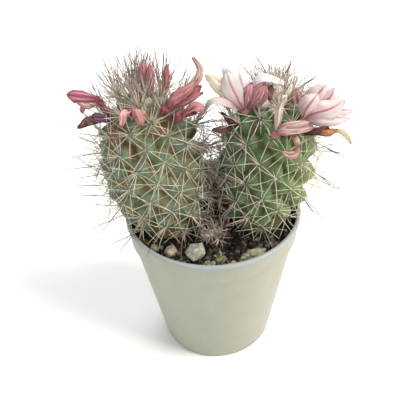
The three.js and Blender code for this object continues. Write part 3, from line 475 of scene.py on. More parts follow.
# Stones and bark: the solids with worn edges and a rough face
stones = {
    "stone_large_angular": ("pale_stone", 0.32), "stone_tan": ("tan_stone", 0.4),
    "stone_long": ("olive_stone", 0.32), "stone_front": ("moss_stone", 0.3),
    "stone_left_edge": ("olive_stone", 0.3), "stone_small_front": ("moss_stone", 0.25),
    "stone_small_left": ("dark_stone", 0.3), "stone_small_right": ("tan_stone", 0.3),
    "stone_right_edge": ("dark_stone", 0.3), "stone_back": ("pale_stone", 0.45),
    "stone_back_left": ("tan_stone", 0.4), "stone_back_right": ("pale_stone", 0.35),
    "bark_flake_left": ("bark", 0.15), "bark_flake_right": ("bark", 0.15), "bark_flake_back": ("bark", 0.15),
}
stoneColors = {
    "pale_stone": ((0.17, 0.165, 0.125), (0.28, 0.275, 0.21), (0.40, 0.395, 0.31)),
    "tan_stone": ((0.15, 0.11, 0.08), (0.30, 0.235, 0.165), (0.46, 0.39, 0.30)),
    "olive_stone": ((0.09, 0.08, 0.05), (0.22, 0.21, 0.135), (0.36, 0.35, 0.25)),
    "moss_stone": ((0.05, 0.045, 0.025), (0.15, 0.15, 0.07), (0.28, 0.27, 0.15)),
    "dark_stone": ((0.03, 0.025, 0.018), (0.09, 0.08, 0.06), (0.19, 0.17, 0.13)),
    "bark": ((0.03, 0.013, 0.007), (0.11, 0.045, 0.022), (0.26, 0.13, 0.07)),
}
stoneRelief = {"size": 1.5, "height": 0.16, "level": 0.35, "apart": (3.7, 1.9, 0)}


def stoneFace(kind):
    dark, middle, pale = stoneColors[kind]
    paint = Paint(kind + "_face")
    flow = (1, 1, 1) if kind != "bark" else (0.3, 1, 1.6)
    coarse = paint.grain(1.6 * mm, 5.0, 0.65, flow)
    fine = paint.grain(0.28 * mm, 3.0, 0.6, flow)
    color = paint.ramp(paint.within(coarse, 0.32, 0.68), dark, middle, pale)
    pits = paint.within(fine, 0.56, 0.66)
    flecked = paint.mix(pits * 0.55, color, dark)
    glint = paint.within(paint.grain(0.45 * mm, 2.0), 0.64, 0.7)
    bright = paint.mix(glint * 0.5, flecked, pale)
    relief = paint.bump(coarse * 1.2 + fine * 0.7 - pits * 0.4, 0.12 * mm)
    return paint.finish(Base_Color=bright, Roughness=0.86, Normal=relief, Specular_IOR_Level=0.3)


def makeStones():
    faces = {kind: stoneFace(kind) for kind in stoneColors}
    for number, (name, (kind, wear)) in enumerate(stones.items()):
        bm = solidOf(name)
        wearEdges(bm, wear * mm)
        bmesh.ops.triangulate(bm, faces=bm.faces)
        bmesh.ops.subdivide_edges(bm, edges=bm.edges, cuts=2, use_grid_fill=True)
        smoothed(bm)
        bm.normal_update()
        shift = Vector([number * step for step in stoneRelief["apart"]])
        for vert in bm.verts:
            rough = noise.fractal(vert.co / (stoneRelief["size"] * mm) + shift, 0.8, 2.2, 4)
            vert.co += vert.normal * (rough - stoneRelief["level"]) * stoneRelief["height"] * mm
        newPiece(name + "_worn", bm, faces[kind], [name], unit=1)


# Stems: an upright barrel between its foot and crown, leaned sideways, with a spiral of spine cushions
grownStem = {
    "y": 0.5, "root": 6, "crownPower": 2.2, "lowest": 3.4, "youngCell": 10, "along": 200, "slot": "stem",
    "shortest": 2.5, "spread": 0.5, "centralDark": 1, "upperDark": 1, "crownSpines": 13,
}
stems = {
    "left": grownStem | {
        "x": -16, "lean": -5.5, "radius": 19, "widest": 20, "height": 53.5, "cell": 67, "turn": 0.35,
        "around": 260, "seed": 16, "crownLength": (9.5, 17.5), "sideReach": 0.8, "apexReach": 1,
        "apexShare": 1, "lift": 0.12, "down": 12, "facing": 1,
    },
    "right": grownStem | {
        "x": 16.8, "lean": 4.2, "radius": 17.3, "widest": 21, "height": 54, "cell": 74, "turn": 2.1,
        "around": 250, "seed": 23, "crownLength": (9, 15), "sideReach": 0.66, "apexReach": 0.36,
        "apexShare": 0.2, "lift": 0.55, "down": 24, "facing": -1,
    },
    "offset": {
        "x": -0.4, "y": -13.6, "lean": 0.3, "radius": 3.3, "widest": 2.4, "height": 5.6, "root": 2.2,
        "crownPower": 2, "lowest": 1.6, "cell": 11, "youngCell": 6, "turn": 1, "around": 90, "along": 60,
        "seed": 37, "slot": "offset_stem", "shortest": 1.2, "spread": 0.7, "centralDark": 0.4,
        "upperDark": 0.3, "crownSpines": 3, "crownLength": (2.4, 4), "sideReach": 0.66, "apexReach": 1,
        "apexShare": 1, "lift": 0.3, "down": 0, "facing": 0,
    },
}
tubercle = {
    "youngAreoles": 13, "crownShare": 0.3, "upwardTilt": 0.16, "spacing": math.sqrt(2 / math.sqrt(3)),
    "farthest": 0.577, "depth": 3.1, "power": 2.6, "roundness": 22, "deepest": 0.64, "rise": 0.35,
    "fadeFrom": 1.5, "fadeOver": 4, "profileSteps": 240,
}
makeSoil()
makeStones()
print("soil, stones and bark made")


# Height and radius of the upright barrel, where turn runs from 0 at the crown to pi at the foot
def barrel(stem, turn):
    upper = turn <= math.pi / 2
    power = 2 / np.where(upper, stem["crownPower"], 2)
    reach = np.where(upper, stem["height"] - stem["widest"], -(stem["widest"] + stem["root"]))
    height = stem["widest"] + reach * np.abs(np.cos(turn)) ** power
    return height, stem["radius"] * np.abs(np.sin(turn)) ** power


def leaned(stem, places):
    places = np.array(places, float)
    share = np.clip(places[..., 2] / stem["height"], 0, 1)
    shift = stem["lean"] * share * (2 - share)
    foot = np.array([stem["x"], stem["y"], soil["top"]])
    places = places + foot
    places[..., 0] += shift
    return places


# The spine cushions in a golden-angle spiral from the crown down, each with its own share of the skin
def sitesOf(stem):
    height, radius = barrel(stem, np.linspace(0, math.pi, tubercle["profileSteps"] + 1))
    slant = np.hypot(np.diff(height), np.diff(radius))
    above = np.concatenate([[0], np.cumsum(math.pi * (radius[1:] + radius[:-1]) * slant)])
    sites = []
    area = 0
    order = 0
    while True:
        youth = math.exp(-order / tubercle["youngAreoles"])
        cell = stem["cell"] - (stem["cell"] - stem["youngCell"]) * youth
        area += cell * (tubercle["crownShare"] if order == 0 else 1)
        i = int(np.searchsorted(above, area))
        share = (area - above[i - 1]) / (above[i] - above[i - 1])
        r = radius[i - 1] + (radius[i] - radius[i - 1]) * share
        h = height[i - 1] + (height[i] - height[i - 1]) * share
        if h < stem["lowest"]:
            return sites
        angle = stem["turn"] + order * goldenAngle
        facing = Vector((height[i - 1] - height[i], 0, radius[i] - radius[i - 1])).normalized()
        facing.rotate(Matrix.Rotation(angle, 3, "Z"))
        axis = (facing + up * tubercle["upwardTilt"]).normalized()
        right = up.cross(axis)
        if right.length < 0.05:
            right = Vector((1, 0, 0))
        right = (right - axis * right.dot(axis)).normalized()
        at = Vector((r * math.cos(angle), r * math.sin(angle), h))
        sites.append({
            "order": order, "at": at, "size": tubercle["spacing"] * math.sqrt(cell), "axis": axis,
            "right": right, "over": axis.cross(right), "youth": youth, "place": Vector(leaned(stem, at)),
        })
        order += 1


# The skin: a ball shaped to the barrel, sunk between the cushions into rounded furrows
def stemSkin(stem, sites):
    bm = bmesh.new()
    bmesh.ops.create_uvsphere(bm, u_segments=stem["around"], v_segments=stem["along"], radius=1)
    ball = np.array([vert.co[:] for vert in bm.verts])
    turn = np.arccos(np.clip(ball[:, 2], -1, 1))
    angle = np.arctan2(ball[:, 1], ball[:, 0])
    height, radius = barrel(stem, turn)
    skin = np.stack([radius * np.cos(angle), radius * np.sin(angle), height], 1)
    places = np.array([site["at"][:] for site in sites])
    sizes = np.array([site["size"] for site in sites])
    away = np.linalg.norm(skin[:, None] - places[None], axis=2) / sizes[None]
    nearest = away.argmin(1)
    blend = tubercle["roundness"]
    least = away.min(1)
    soft = least - np.log(np.exp(-blend * (away - least[:, None])).sum(1)) / blend
    share = np.clip(soft, 0, None)
    sunk = np.clip(tubercle["depth"] * share ** tubercle["power"], 0, tubercle["deepest"])
    fade = np.clip((skin[:, 2] + tubercle["fadeFrom"]) / tubercle["fadeOver"], 0, 1)
    depth = sizes[nearest] * sunk * fade
    outward = np.stack([skin[:, 0], skin[:, 1], tubercle["rise"] * (skin[:, 2] - stem["widest"])], 1)
    outward /= np.linalg.norm(outward, axis=1)[:, None] + 1e-9
    skin = leaned(stem, skin - outward * depth[:, None])
    for vert, place in zip(bm.verts, skin):
        vert.co = place
    smoothed(bm)
    tones = np.random.default_rng(stem["seed"]).random(len(sites))
    return bm, {"furrow": np.clip(least / tubercle["farthest"], 0, 1.2), "tone": tones[nearest]}


fleshColors = {
    "left": {
        "green": ((0.05, 0.112, 0.08), (0.095, 0.165, 0.115)), "olive": (0.205, 0.20, 0.088),
        "furrow": (0.31, 0.225, 0.105), "scar": (0.20, 0.08, 0.045), "bright": (0.22, 0.24, 0.09),
        "scars": [((-15.5, -9.9, 99.8), 4.3), ((-25.8, -11.2, 93.8), 4), ((-32.1, -8, 98.6), 6)],
        "lit": -0.012, "wool": (0.1055, 0.109), "woolShare": 0.4, "foot": (0.36, 0.22, 0.13),
    },
    "right": {
        "green": ((0.032, 0.082, 0.036), (0.07, 0.148, 0.065)), "olive": (0.125, 0.165, 0.055),
        "furrow": (0.14, 0.14, 0.055), "scar": (0.34, 0.33, 0.19), "bright": (0.26, 0.33, 0.09),
        "scars": [((32, -10, 85), 4.6)],
        "lit": 0.016, "wool": (0.104, 0.108), "woolShare": 0.9, "foot": (0.10, 0.06, 0.065),
    },
    "offset": {
        "green": ((0.12, 0.13, 0.06), (0.18, 0.175, 0.09)), "olive": (0.20, 0.18, 0.09),
        "furrow": (0.16, 0.12, 0.07), "scar": (0.15, 0.08, 0.05), "bright": (0.26, 0.26, 0.13),
        "scars": [],
        "lit": 0.05, "wool": (0.0595, 0.0615), "woolShare": 0.6, "foot": (0.30, 0.22, 0.14),
    },
}


def flesh(name):
    colors = fleshColors[name]
    paint = Paint(name + "_flesh")
    cloud = paint.grain(7 * mm, 3.0)
    patch = paint.grain(3.2 * mm, 4.0, 0.6)
    fine = paint.grain(0.6 * mm, 4.0, 0.6)
    furrow = paint.attribute("furrow")
    tone = paint.attribute("tone")
    skin = paint.mix(paint.within(cloud * 0.6 + tone * 0.4, 0.3, 0.7), *colors["green"])
    skin = paint.mix(paint.within(patch + 0.35 * furrow, 0.56, 0.82) * 0.85, skin, colors["olive"])
    aside = paint.part("X") - paint.part("Z") * 0.35 + 0.012 * cloud
    lit = paint.within(aside, colors["lit"] - 0.03, colors["lit"] + 0.004)
    skin = paint.mix(lit * 0.55, skin, colors["bright"])
    skin = paint.mix(paint.within(furrow + 0.4 * patch, 0.9, 1.25) * 0.85, skin, colors["furrow"])
    for place, reach in colors["scars"]:
        centre = tuple(value * mm for value in place)
        away = paint.node("VectorMath", {"operation": "DISTANCE"}, {0: paint.spot(), 1: centre}, out="Value")
        blot = 1 - paint.within(away + 0.004 * patch, reach * 0.75 * mm, reach * 1.45 * mm)
        skin = paint.mix(blot * 0.8, skin, colors["scar"])
    wool = paint.within(paint.part("Z") + 0.003 * patch, *colors["wool"])
    skin = paint.mix(wool * colors["woolShare"], skin, (0.84, 0.77, 0.68))
    wax = paint.within(paint.grain(0.22 * mm, 2.0), 0.45, 0.75)
    skin = paint.mix(wax * 0.16, skin, (0.5, 0.55, 0.46))
    relief = paint.bump(fine + 0.4 * wax, 0.07 * mm)
    return paint.finish(Base_Color=skin, Roughness=0.44 + 0.2 * fine, Normal=relief, Specular_IOR_Level=0.45,
                        Subsurface_Weight=0.12, Subsurface_Scale=0.002, Subsurface_Radius=(0.5, 0.8, 0.3))


cushion = {"size": 0.1, "range": (0.85, 1.1), "sunk": 0.05, "shape": (1, 1.1, 0.62), "tones": (0.2, 0.9)}


# The wool of the cushions, at its darkest as dark as the feet of the spines that stand in it
def woolFace(name):
    paint = Paint(name + "_cushions")
    fibre = paint.grain(0.18 * mm, 4.0, 0.7)
    color = paint.ramp(paint.attribute("tone") * 0.7 + fibre * 0.3, fleshColors[name]["foot"],
                       (0.42, 0.34, 0.23), (0.62, 0.56, 0.44))
    return paint.finish(Base_Color=color, Roughness=0.95, Normal=paint.bump(fibre, 0.2 * mm),
                        Specular_IOR_Level=0.15)


def makeCushions(name, stem, sites):
    ball = bmesh.new()
    bmesh.ops.create_uvsphere(ball, u_segments=10, v_segments=6, radius=1)
    pad = meshOf(ball, "pad")
    rng = random.Random(stem["seed"])
    bm = bmesh.new()
    tones = []
    for site in sites:
        wide = cushion["size"] * site["size"] * rng.uniform(*cushion["range"])
        place = site["place"] - site["axis"] * cushion["sunk"] * site["size"]
        flat = stretched(*(wide * share for share in cushion["shape"]))
        addCopy(bm, pad, standing(place, place + site["axis"], rng.uniform(0, 6)) @ flat)
        tones += [rng.uniform(*cushion["tones"])] * len(pad.vertices)
    newPiece(f"cushions_{name}", bm, woolFace(name), marks={"tone": tones})


# Spines: those of the solids, a few more between them, and in each cushion some upper ones that are dark.
# Dark ranges say how brown a spine is, from 0 for the palest
spine = {
    "thick": 0.0185, "tip": 0.5, "cuts": (0.2, 0.42, 0.64, 0.84), "bows": (0.0, 0.025, 0.05, 0.08),
    "hooks": ((0.03, 0.05), (-0.02, 0.09)), "keep": 0.995, "soilClear": 0.9, "lipClear": 60.4,
    "oldDark": 0.12, "youngDark": 0.55, "youthGain": 1.6, "radialDark": (0.6, 1.3),
    "between": 0.12, "widestGap": 2.4, "spareLength": (0.72, 0.95), "spareDark": (0.6, 1.2),
    "centralWithin": 0.035, "centralDark": (0.9, 1.3),
    "uppers": 2, "upperLength": (0.6, 0.92), "upperDark": (0.65, 1.2),
    "youngest": 0.1, "fade": 2.2, "root": 0.08, "youngLift": 0.15, "lowLift": 0.1, "topRoom": (0.2, 3),
    "tall": {"back": 0.22, "aside": 0.4, "length": 1, "dark": (0.65, 1.1)},
    "low": {"back": 0, "aside": 0.95, "length": 0.55, "dark": (0.2, 0.6)},
    "downFrom": 0.3, "downRoot": 0.3, "downUp": 0.5, "downAside": 0.7, "downLength": (2.2, 4.6),
    "downDark": (0.05, 0.6),
    "middle": 0.9, "innerReach": 13, "innerTop": 95, "innerCount": 7, "innerAside": 0.8, "innerUp": 0.15,
    "innerLength": (6, 11), "innerDark": (0.8, 1.2),
    "radius": {"radial": 0.108, "upper": 0.12, "central": 0.165, "crown": 0.132, "inner": 0.115, "down": 0.1},
}


def spineTemplate(bow, hook):
    bm = threadOf(spine["thick"], spine["thick"] * spine["tip"], spine["cuts"])
    along = [vert.co.z for vert in bm.verts]
    for vert in bm.verts:
        share = vert.co.z
        swell = 1 + 1.2 * share * (1 - share)
        tip = max(share - 0.6, 0) / 0.4
        vert.co.x = vert.co.x * swell + bow * 4 * share * (1 - share) + hook * tip ** 2
        vert.co.y *= swell
        vert.co.z -= hook * 0.5 * tip ** 2
    return meshOf(bm, "spine"), along


def spineFace(name):
    paint = Paint(name + "_spines")
    along = paint.attribute("along")
    dark = paint.attribute("dark")
    tone = paint.attribute("tone")
    pale = paint.ramp(tone, (0.47, 0.42, 0.29), (0.62, 0.58, 0.44), (0.77, 0.75, 0.64))
    pale = paint.mix(paint.within(dark, 0.25, 0.5) * 0.7, pale, (0.85, 0.725, 0.63))
    brown = paint.ramp(tone, (0.058, 0.032, 0.028), (0.125, 0.07, 0.06), (0.215, 0.145, 0.122))
    color = paint.mix(paint.within(dark * 0.9 + along * 0.9, 0.8, 1.45), pale, brown)
    foot = 1 - paint.within(along, 0.0, 0.16)
    color = paint.mix(foot * 0.7, color, fleshColors[name]["foot"])
    band = paint.grain(0.5 * mm, 2.0)
    color = paint.mix(band * 0.2, color, (0.35, 0.30, 0.2))
    return paint.finish(Base_Color=color, Roughness=0.42, Specular_IOR_Level=0.5,
                        Normal=paint.bump(band, 0.03 * mm))


# The spines of a solid: a spine's tip is the only kind of corner with three long edges
def solidSpines(node, sites, shortest):
    bm = solidOf(node)
    groups = {site["order"]: [] for site in sites}
    for vert in bm.verts:
        if len(vert.link_edges) != 3:
            continue
        foot = sum((edge.other_vert(vert).co for edge in vert.link_edges), Vector()) / 3
        if (vert.co - foot).length > shortest * mm:
            foot = foot / mm
            site = min(sites, key=lambda one: (one["place"] - foot).length)
            groups[site["order"]].append((foot, foot.lerp(vert.co / mm, spine["keep"])))
    bm.free()
    return groups


# True where a spine runs clear of the soil and the lip and stays in the solids' box
def runsClear(foot, tip):
    for share in (0.4, 0.7, 1.0):
        place = foot.lerp(tip, share)
        overLip = math.hypot(place.x, place.y) > pot["lipInner"] - 0.8
        if place.z < (spine["lipClear"] if overLip else soil["top"] + spine["soilClear"]):
            return False
    return all(cadLow[i] / mm < tip[i] < cadHigh[i] / mm for i in range(3))


# Adds a spine to the list where it runs clear
def grow(listed, rng, foot, tip, kind, dark, weight=1):
    if runsClear(foot, tip):
        listed.append((foot, tip, kind, rng.uniform(*dark) * weight))


def spinesOf(name, stem, sites):
    rng = random.Random(stem["seed"] + 5)
    groups = solidSpines("stem_" + name, sites, stem["shortest"])
    listed = []
    for site in sites:
        axis, right, over, youth = site["axis"], site["right"], site["over"], site["youth"]
        around = []
        centrals = []
        darkness = spine["oldDark"] + spine["youngDark"] * min(1, youth * spine["youthGain"])
        for foot, tip in groups[site["order"]]:
            out = foot - site["place"]
            if (out - axis * out.dot(axis)).length < spine["centralWithin"] * site["size"]:
                centrals.append((foot, tip))
                continue
            way = tip - foot
            around.append((math.atan2(way.dot(over), way.dot(right)), foot, tip))
            listed.append((foot, tip, "radial", darkness * rng.uniform(*spine["radialDark"])))
        around.sort(key=lambda entry: entry[0])
        for k, (angle, foot, tip) in enumerate(around):
            nextAngle, nextFoot, nextTip = around[(k + 1) % len(around)]
            opening = (nextAngle - angle) % fullTurn
            if len(around) < 2 or opening > spine["widestGap"] or rng.random() > spine["between"]:
                continue
            way = ((tip - foot).normalized() + (nextTip - nextFoot).normalized()).normalized()
            mean = ((tip - foot).length + (nextTip - nextFoot).length) / 2
            length = mean * rng.uniform(*spine["spareLength"])
            start = (foot + nextFoot) / 2
            grow(listed, rng, start, start + way * length, "radial", spine["spareDark"], darkness)
        for foot, tip in centrals:
            listed.append((foot, tip, "central", rng.uniform(*spine["centralDark"]) * stem["centralDark"]))
            for _ in range(spine["uppers"] if youth > 0.02 else 1):
                aside = right * rng.uniform(-1, 1) + over * rng.uniform(-0.2, 1.1)
                way = ((tip - foot).normalized() + aside * stem["spread"]).normalized()
                end = foot + way * (tip - foot).length * rng.uniform(*spine["upperLength"])
                grow(listed, rng, foot, end, "upper", spine["upperDark"], stem["upperDark"])
        crownSpines(listed, stem, site, rng)
        innerSpines(listed, stem, site, rng)
    return listed


def anyWay(rng):
    return Vector([rng.gauss(0, 1) for _ in range(3)]).normalized()


def anyPlace(rng, low, high):
    return Vector([rng.uniform(low, high) for _ in range(3)])


# The tuft of the crown: long dark spines that stand up, lower pale ones that spread and short ones as down
def crownSpines(listed, stem, site, rng):
    youth, place, axis = site["youth"], site["place"], site["axis"]
    if youth < spine["youngest"]:
        return
    share = min(1, youth * spine["fade"]) * (1 + (stem["apexShare"] - 1) * youth)
    reach = stem["sideReach"] + (stem["apexReach"] - stem["sideReach"]) * youth
    for i in range(round(stem["crownSpines"] * share)):
        tall = i % 3 != 0
        form = spine["tall" if tall else "low"]
        aside = anyWay(rng)
        lift = up * (stem["lift"] + spine["youngLift"] * youth if tall else spine["lowLift"])
        way = (axis + lift + Vector((0, form["back"], 0)) + aside * form["aside"]).normalized()
        start = place + aside * spine["root"] * site["size"]
        length = rng.uniform(*stem["crownLength"]) * reach * form["length"]
        room = cadHigh[2] / mm - rng.uniform(*spine["topRoom"]) - start.z
        end = start + way * min(length, room / max(way.z, 0.1))
        grow(listed, rng, start, end, "crown", form["dark"])
    for _ in range(round(stem["down"] * max(youth - spine["downFrom"], 0) / (1 - spine["downFrom"]))):
        aside = anyWay(rng)
        start = place + aside * spine["downRoot"] * site["size"]
        way = (axis + up * spine["downUp"] + aside * spine["downAside"]).normalized()
        end = start + way * rng.uniform(*spine["downLength"])
        grow(listed, rng, start, end, "down", spine["downDark"])


# Thin brown spines that fill the space between the two large stems
def innerSpines(listed, stem, site, rng):
    place = site["place"]
    near = (spine["middle"] - place.x) * stem["facing"]
    if not 0 < near < spine["innerReach"] or place.z > spine["innerTop"]:
        return
    for _ in range(spine["innerCount"]):
        way = (site["axis"] + anyWay(rng) * spine["innerAside"] + up * spine["innerUp"]).normalized()
        end = place + way * rng.uniform(*spine["innerLength"])
        grow(listed, rng, place, end, "inner", spine["innerDark"])


def makeSpines(name, stem, sites):
    rng = random.Random(stem["seed"] + 9)
    bows = [spineTemplate(bow, 0.0) for bow in spine["bows"]]
    hooked = [spineTemplate(*hook) for hook in spine["hooks"]]
    pools = {"central": hooked + bows[:2], "crown": bows[:2] + hooked[:1]}
    along = bows[0][1]
    bm = bmesh.new()
    marks = {"along": [], "dark": [], "tone": []}
    listed = spinesOf(name, stem, sites)
    for foot, tip, kind, darkness in listed:
        template = rng.choice(pools.get(kind, bows))[0]
        length = (tip - foot).length
        thick = spine["radius"][kind] / (length * spine["thick"])
        matrix = standing(foot, tip, rng.uniform(0, 6.28), length) @ stretched(thick, thick, 1)
        addCopy(bm, template, matrix)
        marks["along"] += along
        marks["dark"] += [darkness] * len(along)
        marks["tone"] += [rng.random()] * len(along)
    newPiece(f"spines_{name}", bm, spineFace(name), marks=marks)
    return len(listed)


def makeStems():
    for name, stem in stems.items():
        sites = sitesOf(stem)
        bm, marks = stemSkin(stem, sites)
        newPiece(f"flesh_{name}", bm, flesh(name), ["stem_" + name], marks=marks)
        makeCushions(name, stem, sites)
        count = makeSpines(name, stem, sites)
        print("stem", name, "has", len(sites), "cushions and", count, "spines")


makeStems()


# Flowers: tubes, petals and straps by the places that they pass, each with its look
flowers = {
    "flower_open_left": {
        "stamens": {"length": 7, "spread": 0.36},
        "tubes": [("open", (12.7, -3.4, 101.5), (9.6, -3, 105.6), ((0, 1.4), (0.5, 1.9), (1, 2.3)))],
        "straps": [
            ("open", 7, (0.9, 0.3, 0.4),
             ((11.3, -5, 103.5), (9, -7.3, 109.2), (6.8, -7.5, 114.3), (5.3, -6, 118.1))),
            ("open", 5.6, (0.3, 0.9, -0.2),
             ((10.4, -4.6, 104), (6, -7.4, 108.4), (2, -8, 109.6), (-0.9, -7.8, 107.6), (-1.8, -7.6, 104))),
            ("cream", 6, (0.6, 0.7, 0.3),
             ((9.8, -2.6, 104.4), (5.6, 0.6, 108.4), (1.6, 2, 111.8), (-1, 2, 112.6))),
            ("lilac", 7, (0.9, 0.3, 0.3),
             ((10.4, -2.2, 104.4), (9.4, 0.2, 109), (7.5, 2.5, 112.9), (4.7, 4, 114.6))),
            ("lilac", 6.4, (1, 0.1, 0.1),
             ((11.2, -2.2, 104.3), (11.3, 0.4, 108.6), (10.5, 2.5, 111.7), (9.9, 4, 113.5))),
            ("back", 5.6, (1, -0.1, -0.1),
             ((12, -4, 103.4), (12.6, -5.6, 107.6), (13.3, -5.4, 110.7), (13.6, -4, 112.6))),
            ("back", 6, (0.8, -0.3, -0.4),
             ((12.4, -4, 103), (15.1, -6.4, 107.7), (16.8, -6.6, 111), (18.1, -5.6, 113.3))),
            ("lilac", 4.6, (0, 1, 0.1),
             ((11.9, -3, 104.3), (14, -2.2, 109.3), (17.2, -2.4, 112.3),
              (22, -3, 111.8), (26.4, -2.5, 109.6))),
        ],
    },
    "flower_open_right": {
        "stamens": {"length": 2.7, "spread": 0.08},
        "tubes": [("rosy", (30.7, -7.1, 98.6), (32.4, -6.8, 102.8), ((0, 1.3), (0.5, 1.8), (1, 2.1)))],
        "straps": [
            ("rosy", 6.4, (0.9, -0.3, -0.4),
             ((30.6, -7.4, 101), (30.7, -9, 104.5), (32.7, -9.4, 108.3), (34.6, -8.2, 110.2))),
            ("rosy", 7.4, (0.4, -0.6, -0.7),
             ((31, -7.8, 101.2), (34.1, -10, 104.1), (38.4, -10.8, 105.9), (43.1, -9.8, 108.5))),
            ("rosy", 6.8, (0.7, -0.5, -0.6),
             ((31.6, -5.4, 101), (36.6, -3.8, 103.6), (39.6, -3.4, 106.2), (40.6, -2.6, 109))),
            ("rosy", 7, (0.1, -0.6, -0.8),
             ((31.4, -7.2, 100.8), (37, -8.8, 103), (42, -9, 104.3), (46.2, -8.4, 103.4))),
            ("rosy", 5, (0, -0.9, -0.5),
             ((31, -8, 100.8), (34.8, -10.4, 102.6), (39.8, -11.2, 102.8), (45.1, -10.6, 102.4))),
            ("rosy", 6.4, (0.7, -0.4, -0.5),
             ((31.2, -5.2, 101.4), (33.9, -3.6, 105.2), (36.5, -2.8, 107.9), (38.5, -2, 109.5))),
        ],
    },
    "flower_faded_strap": {
        "tubes": [("rose", (20.2, -11, 96.2), (21.3, -14.2, 100.2), ((0, 0.8), (0.5, 1.3), (0.9, 1.1)))],
        "straps": [
            ("rose", 3.6, (0.1, -0.8, -0.6),
             ((20.8, -13.4, 99.2), (22.8, -15.6, 101.7), (27.1, -16.2, 102.4), (32.9, -15.2, 102.1))),
            ("rose", 3.2, (0.3, -0.3, -0.9),
             ((20.8, -13.4, 99.4), (23.4, -15.2, 102.2), (28, -15.8, 103.5), (32.5, -14.8, 103.7))),
            ("beige", 2.7, (1, -0.2, -0.2),
             ((21, -13.4, 99.2), (21.4, -14.4, 104.3), (21.9, -13.6, 108.2), (23.7, -12, 111.5))),
        ],
    },
    "flower_faded_hook": {
        "straps": [
            ("peach", 2, (-1, -0.2, -0.2), ((26.2, -10.6, 97), (27.4, -15.8, 98.6), (28.2, -17.8, 96.5))),
            ("peach", 2.8, (-0.2, 0.2, 1),
             ((28.3, -17.4, 97), (27.4, -18.6, 94.4), (24.7, -18.8, 93.9), (22.2, -18.2, 95.3))),
        ],
    },
    "flower_dried_right": {
        "straps": [
            ("husk", 2.8, (0.4, -0.6, -0.7), ((30.6, -9.4, 96.2), (34.4, -13.4, 99.3), (38.2, -13.9, 100.7))),
            ("rust", 3, (0.1, -0.8, -0.5), ((33.2, -12, 98.4), (37.3, -14.2, 99.8), (40.6, -13.6, 100))),
            ("straw", 1.9, (-0.4, -0.4, -0.8),
             ((37.8, -13.6, 99.4), (41.9, -13.6, 99.2), (44.2, -13, 96.9), (46, -12, 93))),
        ],
    },
    "flower_withered_upright": {
        "tubes": [("pink", (-16.2, -4.6, 102.6), (-13.4, -8, 107.4), ((0, 1), (0.5, 1.6), (0.9, 1.7)))],
        "straps": [
            ("pink", 4.2, (0.6, -0.5, -0.6),
             ((-14, -7.4, 106.2), (-11.3, -9, 110.4), (-7.1, -8.4, 113.2), (-3.2, -6, 115.7))),
            ("peach", 2.6, (1, -0.1, -0.2),
             ((-9.6, -9.6, 110.8), (-5.6, -6.4, 113.2), (-3.2, -5.6, 115.6),
              (-2.4, -4.2, 118.2), (-4.4, -2.6, 121.8))),
            ("magenta", 4.6, (0.5, -0.5, -0.7),
             ((-13.2, -7.2, 106.6), (-8.6, -6.6, 109.2), (-5, -6, 111.3), (-2.3, -4.6, 112.8))),
            ("pink", 2.6, (0.3, -0.7, -0.6),
             ((-13.2, -7.4, 106.4), (-9, -7.6, 108.4), (-5, -7.4, 110.4), (-1.8, -6.8, 111.4))),
        ],
    },
    "flower_withered_red": {
        "tubes": [("pink", (-12.4, -5.2, 100.2), (-8.9, -9.4, 105.4), ((0, 1), (0.5, 1.5), (0.9, 1.5)))],
        "straps": [
            ("pink", 3.8, (0.1, -1, -0.2),
             ((-9.6, -8.4, 104), (-7, -10.8, 107.6), (-4.4, -11.6, 109.8),
              (-2.1, -11.5, 108.8), (-2.2, -10.8, 105.6))),
            ("magenta", 3, (0.3, -0.6, -0.8),
             ((-9.8, -8.2, 103.8), (-6.1, -9.8, 106.4), (-3.6, -9.4, 106.2))),
        ],
    },
    "flower_withered_bell": {
        "tubes": [("pink", (-24.4, -8.4, 104.2), (-24.9, -11, 108), ((0, 1), (0.5, 1.5), (0.9, 1.5)))],
        "straps": [
            ("blush", 3.2, (1, -0.4, 0), ((-25, -10.4, 107.4), (-26.2, -13.2, 108.2), (-27.6, -15.4, 104.8))),
            ("salmon", 4.8, (-0.9, -0.1, -0.5),
             ((-24.8, -10.4, 107.4), (-22.7, -13.4, 108.9), (-21.3, -16, 105))),
        ],
    },
    "flower_withered_side": {
        "tubes": [
            ("magenta", (-33, -1.6, 101.4), (-36.9, -3.6, 109.4), ((0, 1), (0.5, 1.2), (0.9, 1.3))),
            ("magenta", (-34.6, -3.6, 107.8), (-45.6, -4.6, 111.2),
             ((0.1, 1), (0.45, 1.9), (0.75, 2.1), (0.92, 1.2))),
        ],
        "straps": [
            ("pink", 1.9, (-1, 0.2, 0.2), ((-40, -4.6, 109.5), (-40.8, -5.6, 107), (-41.3, -6.2, 105))),
            ("blush", 3, (-0.1, 0.6, 0.8), ((-35.7, -4, 108.4), (-38.8, -5.4, 107.9), (-42.6, -5.6, 108.7))),
        ],
    },
    "flower_dried_side": {
        "tubes": [("plum", (-31.6, -4.2, 100.6), (-38, -8, 104.7), ((0, 0.9), (0.5, 1.4), (0.9, 1.4)))],
        "straps": [
            ("husk", 3.4, (-0.3, 0.6, 0.8), ((-34.6, -6.4, 102.4), (-39.2, -8.4, 103.6), (-43, -8.8, 101.2))),
        ],
    },
    "flower_dried_inner": {
        "tubes": [("husk", (11.1, -2.6, 95.3), (7, -5, 98.7), ((0, 0.9), (0.5, 1.4), (0.9, 1.3)))],
        "straps": [
            ("husk", 2, (0.5, 0.5, 0.7), ((8.6, -4.2, 97.6), (6.7, -5.4, 99.9), (4.1, -6, 102.7))),
            ("husk", 2.4, (-0.1, 0.6, 0.8), ((8.6, -4.2, 97), (5.3, -6.4, 97.3), (0.7, -7, 97.7))),
        ],
    },
}
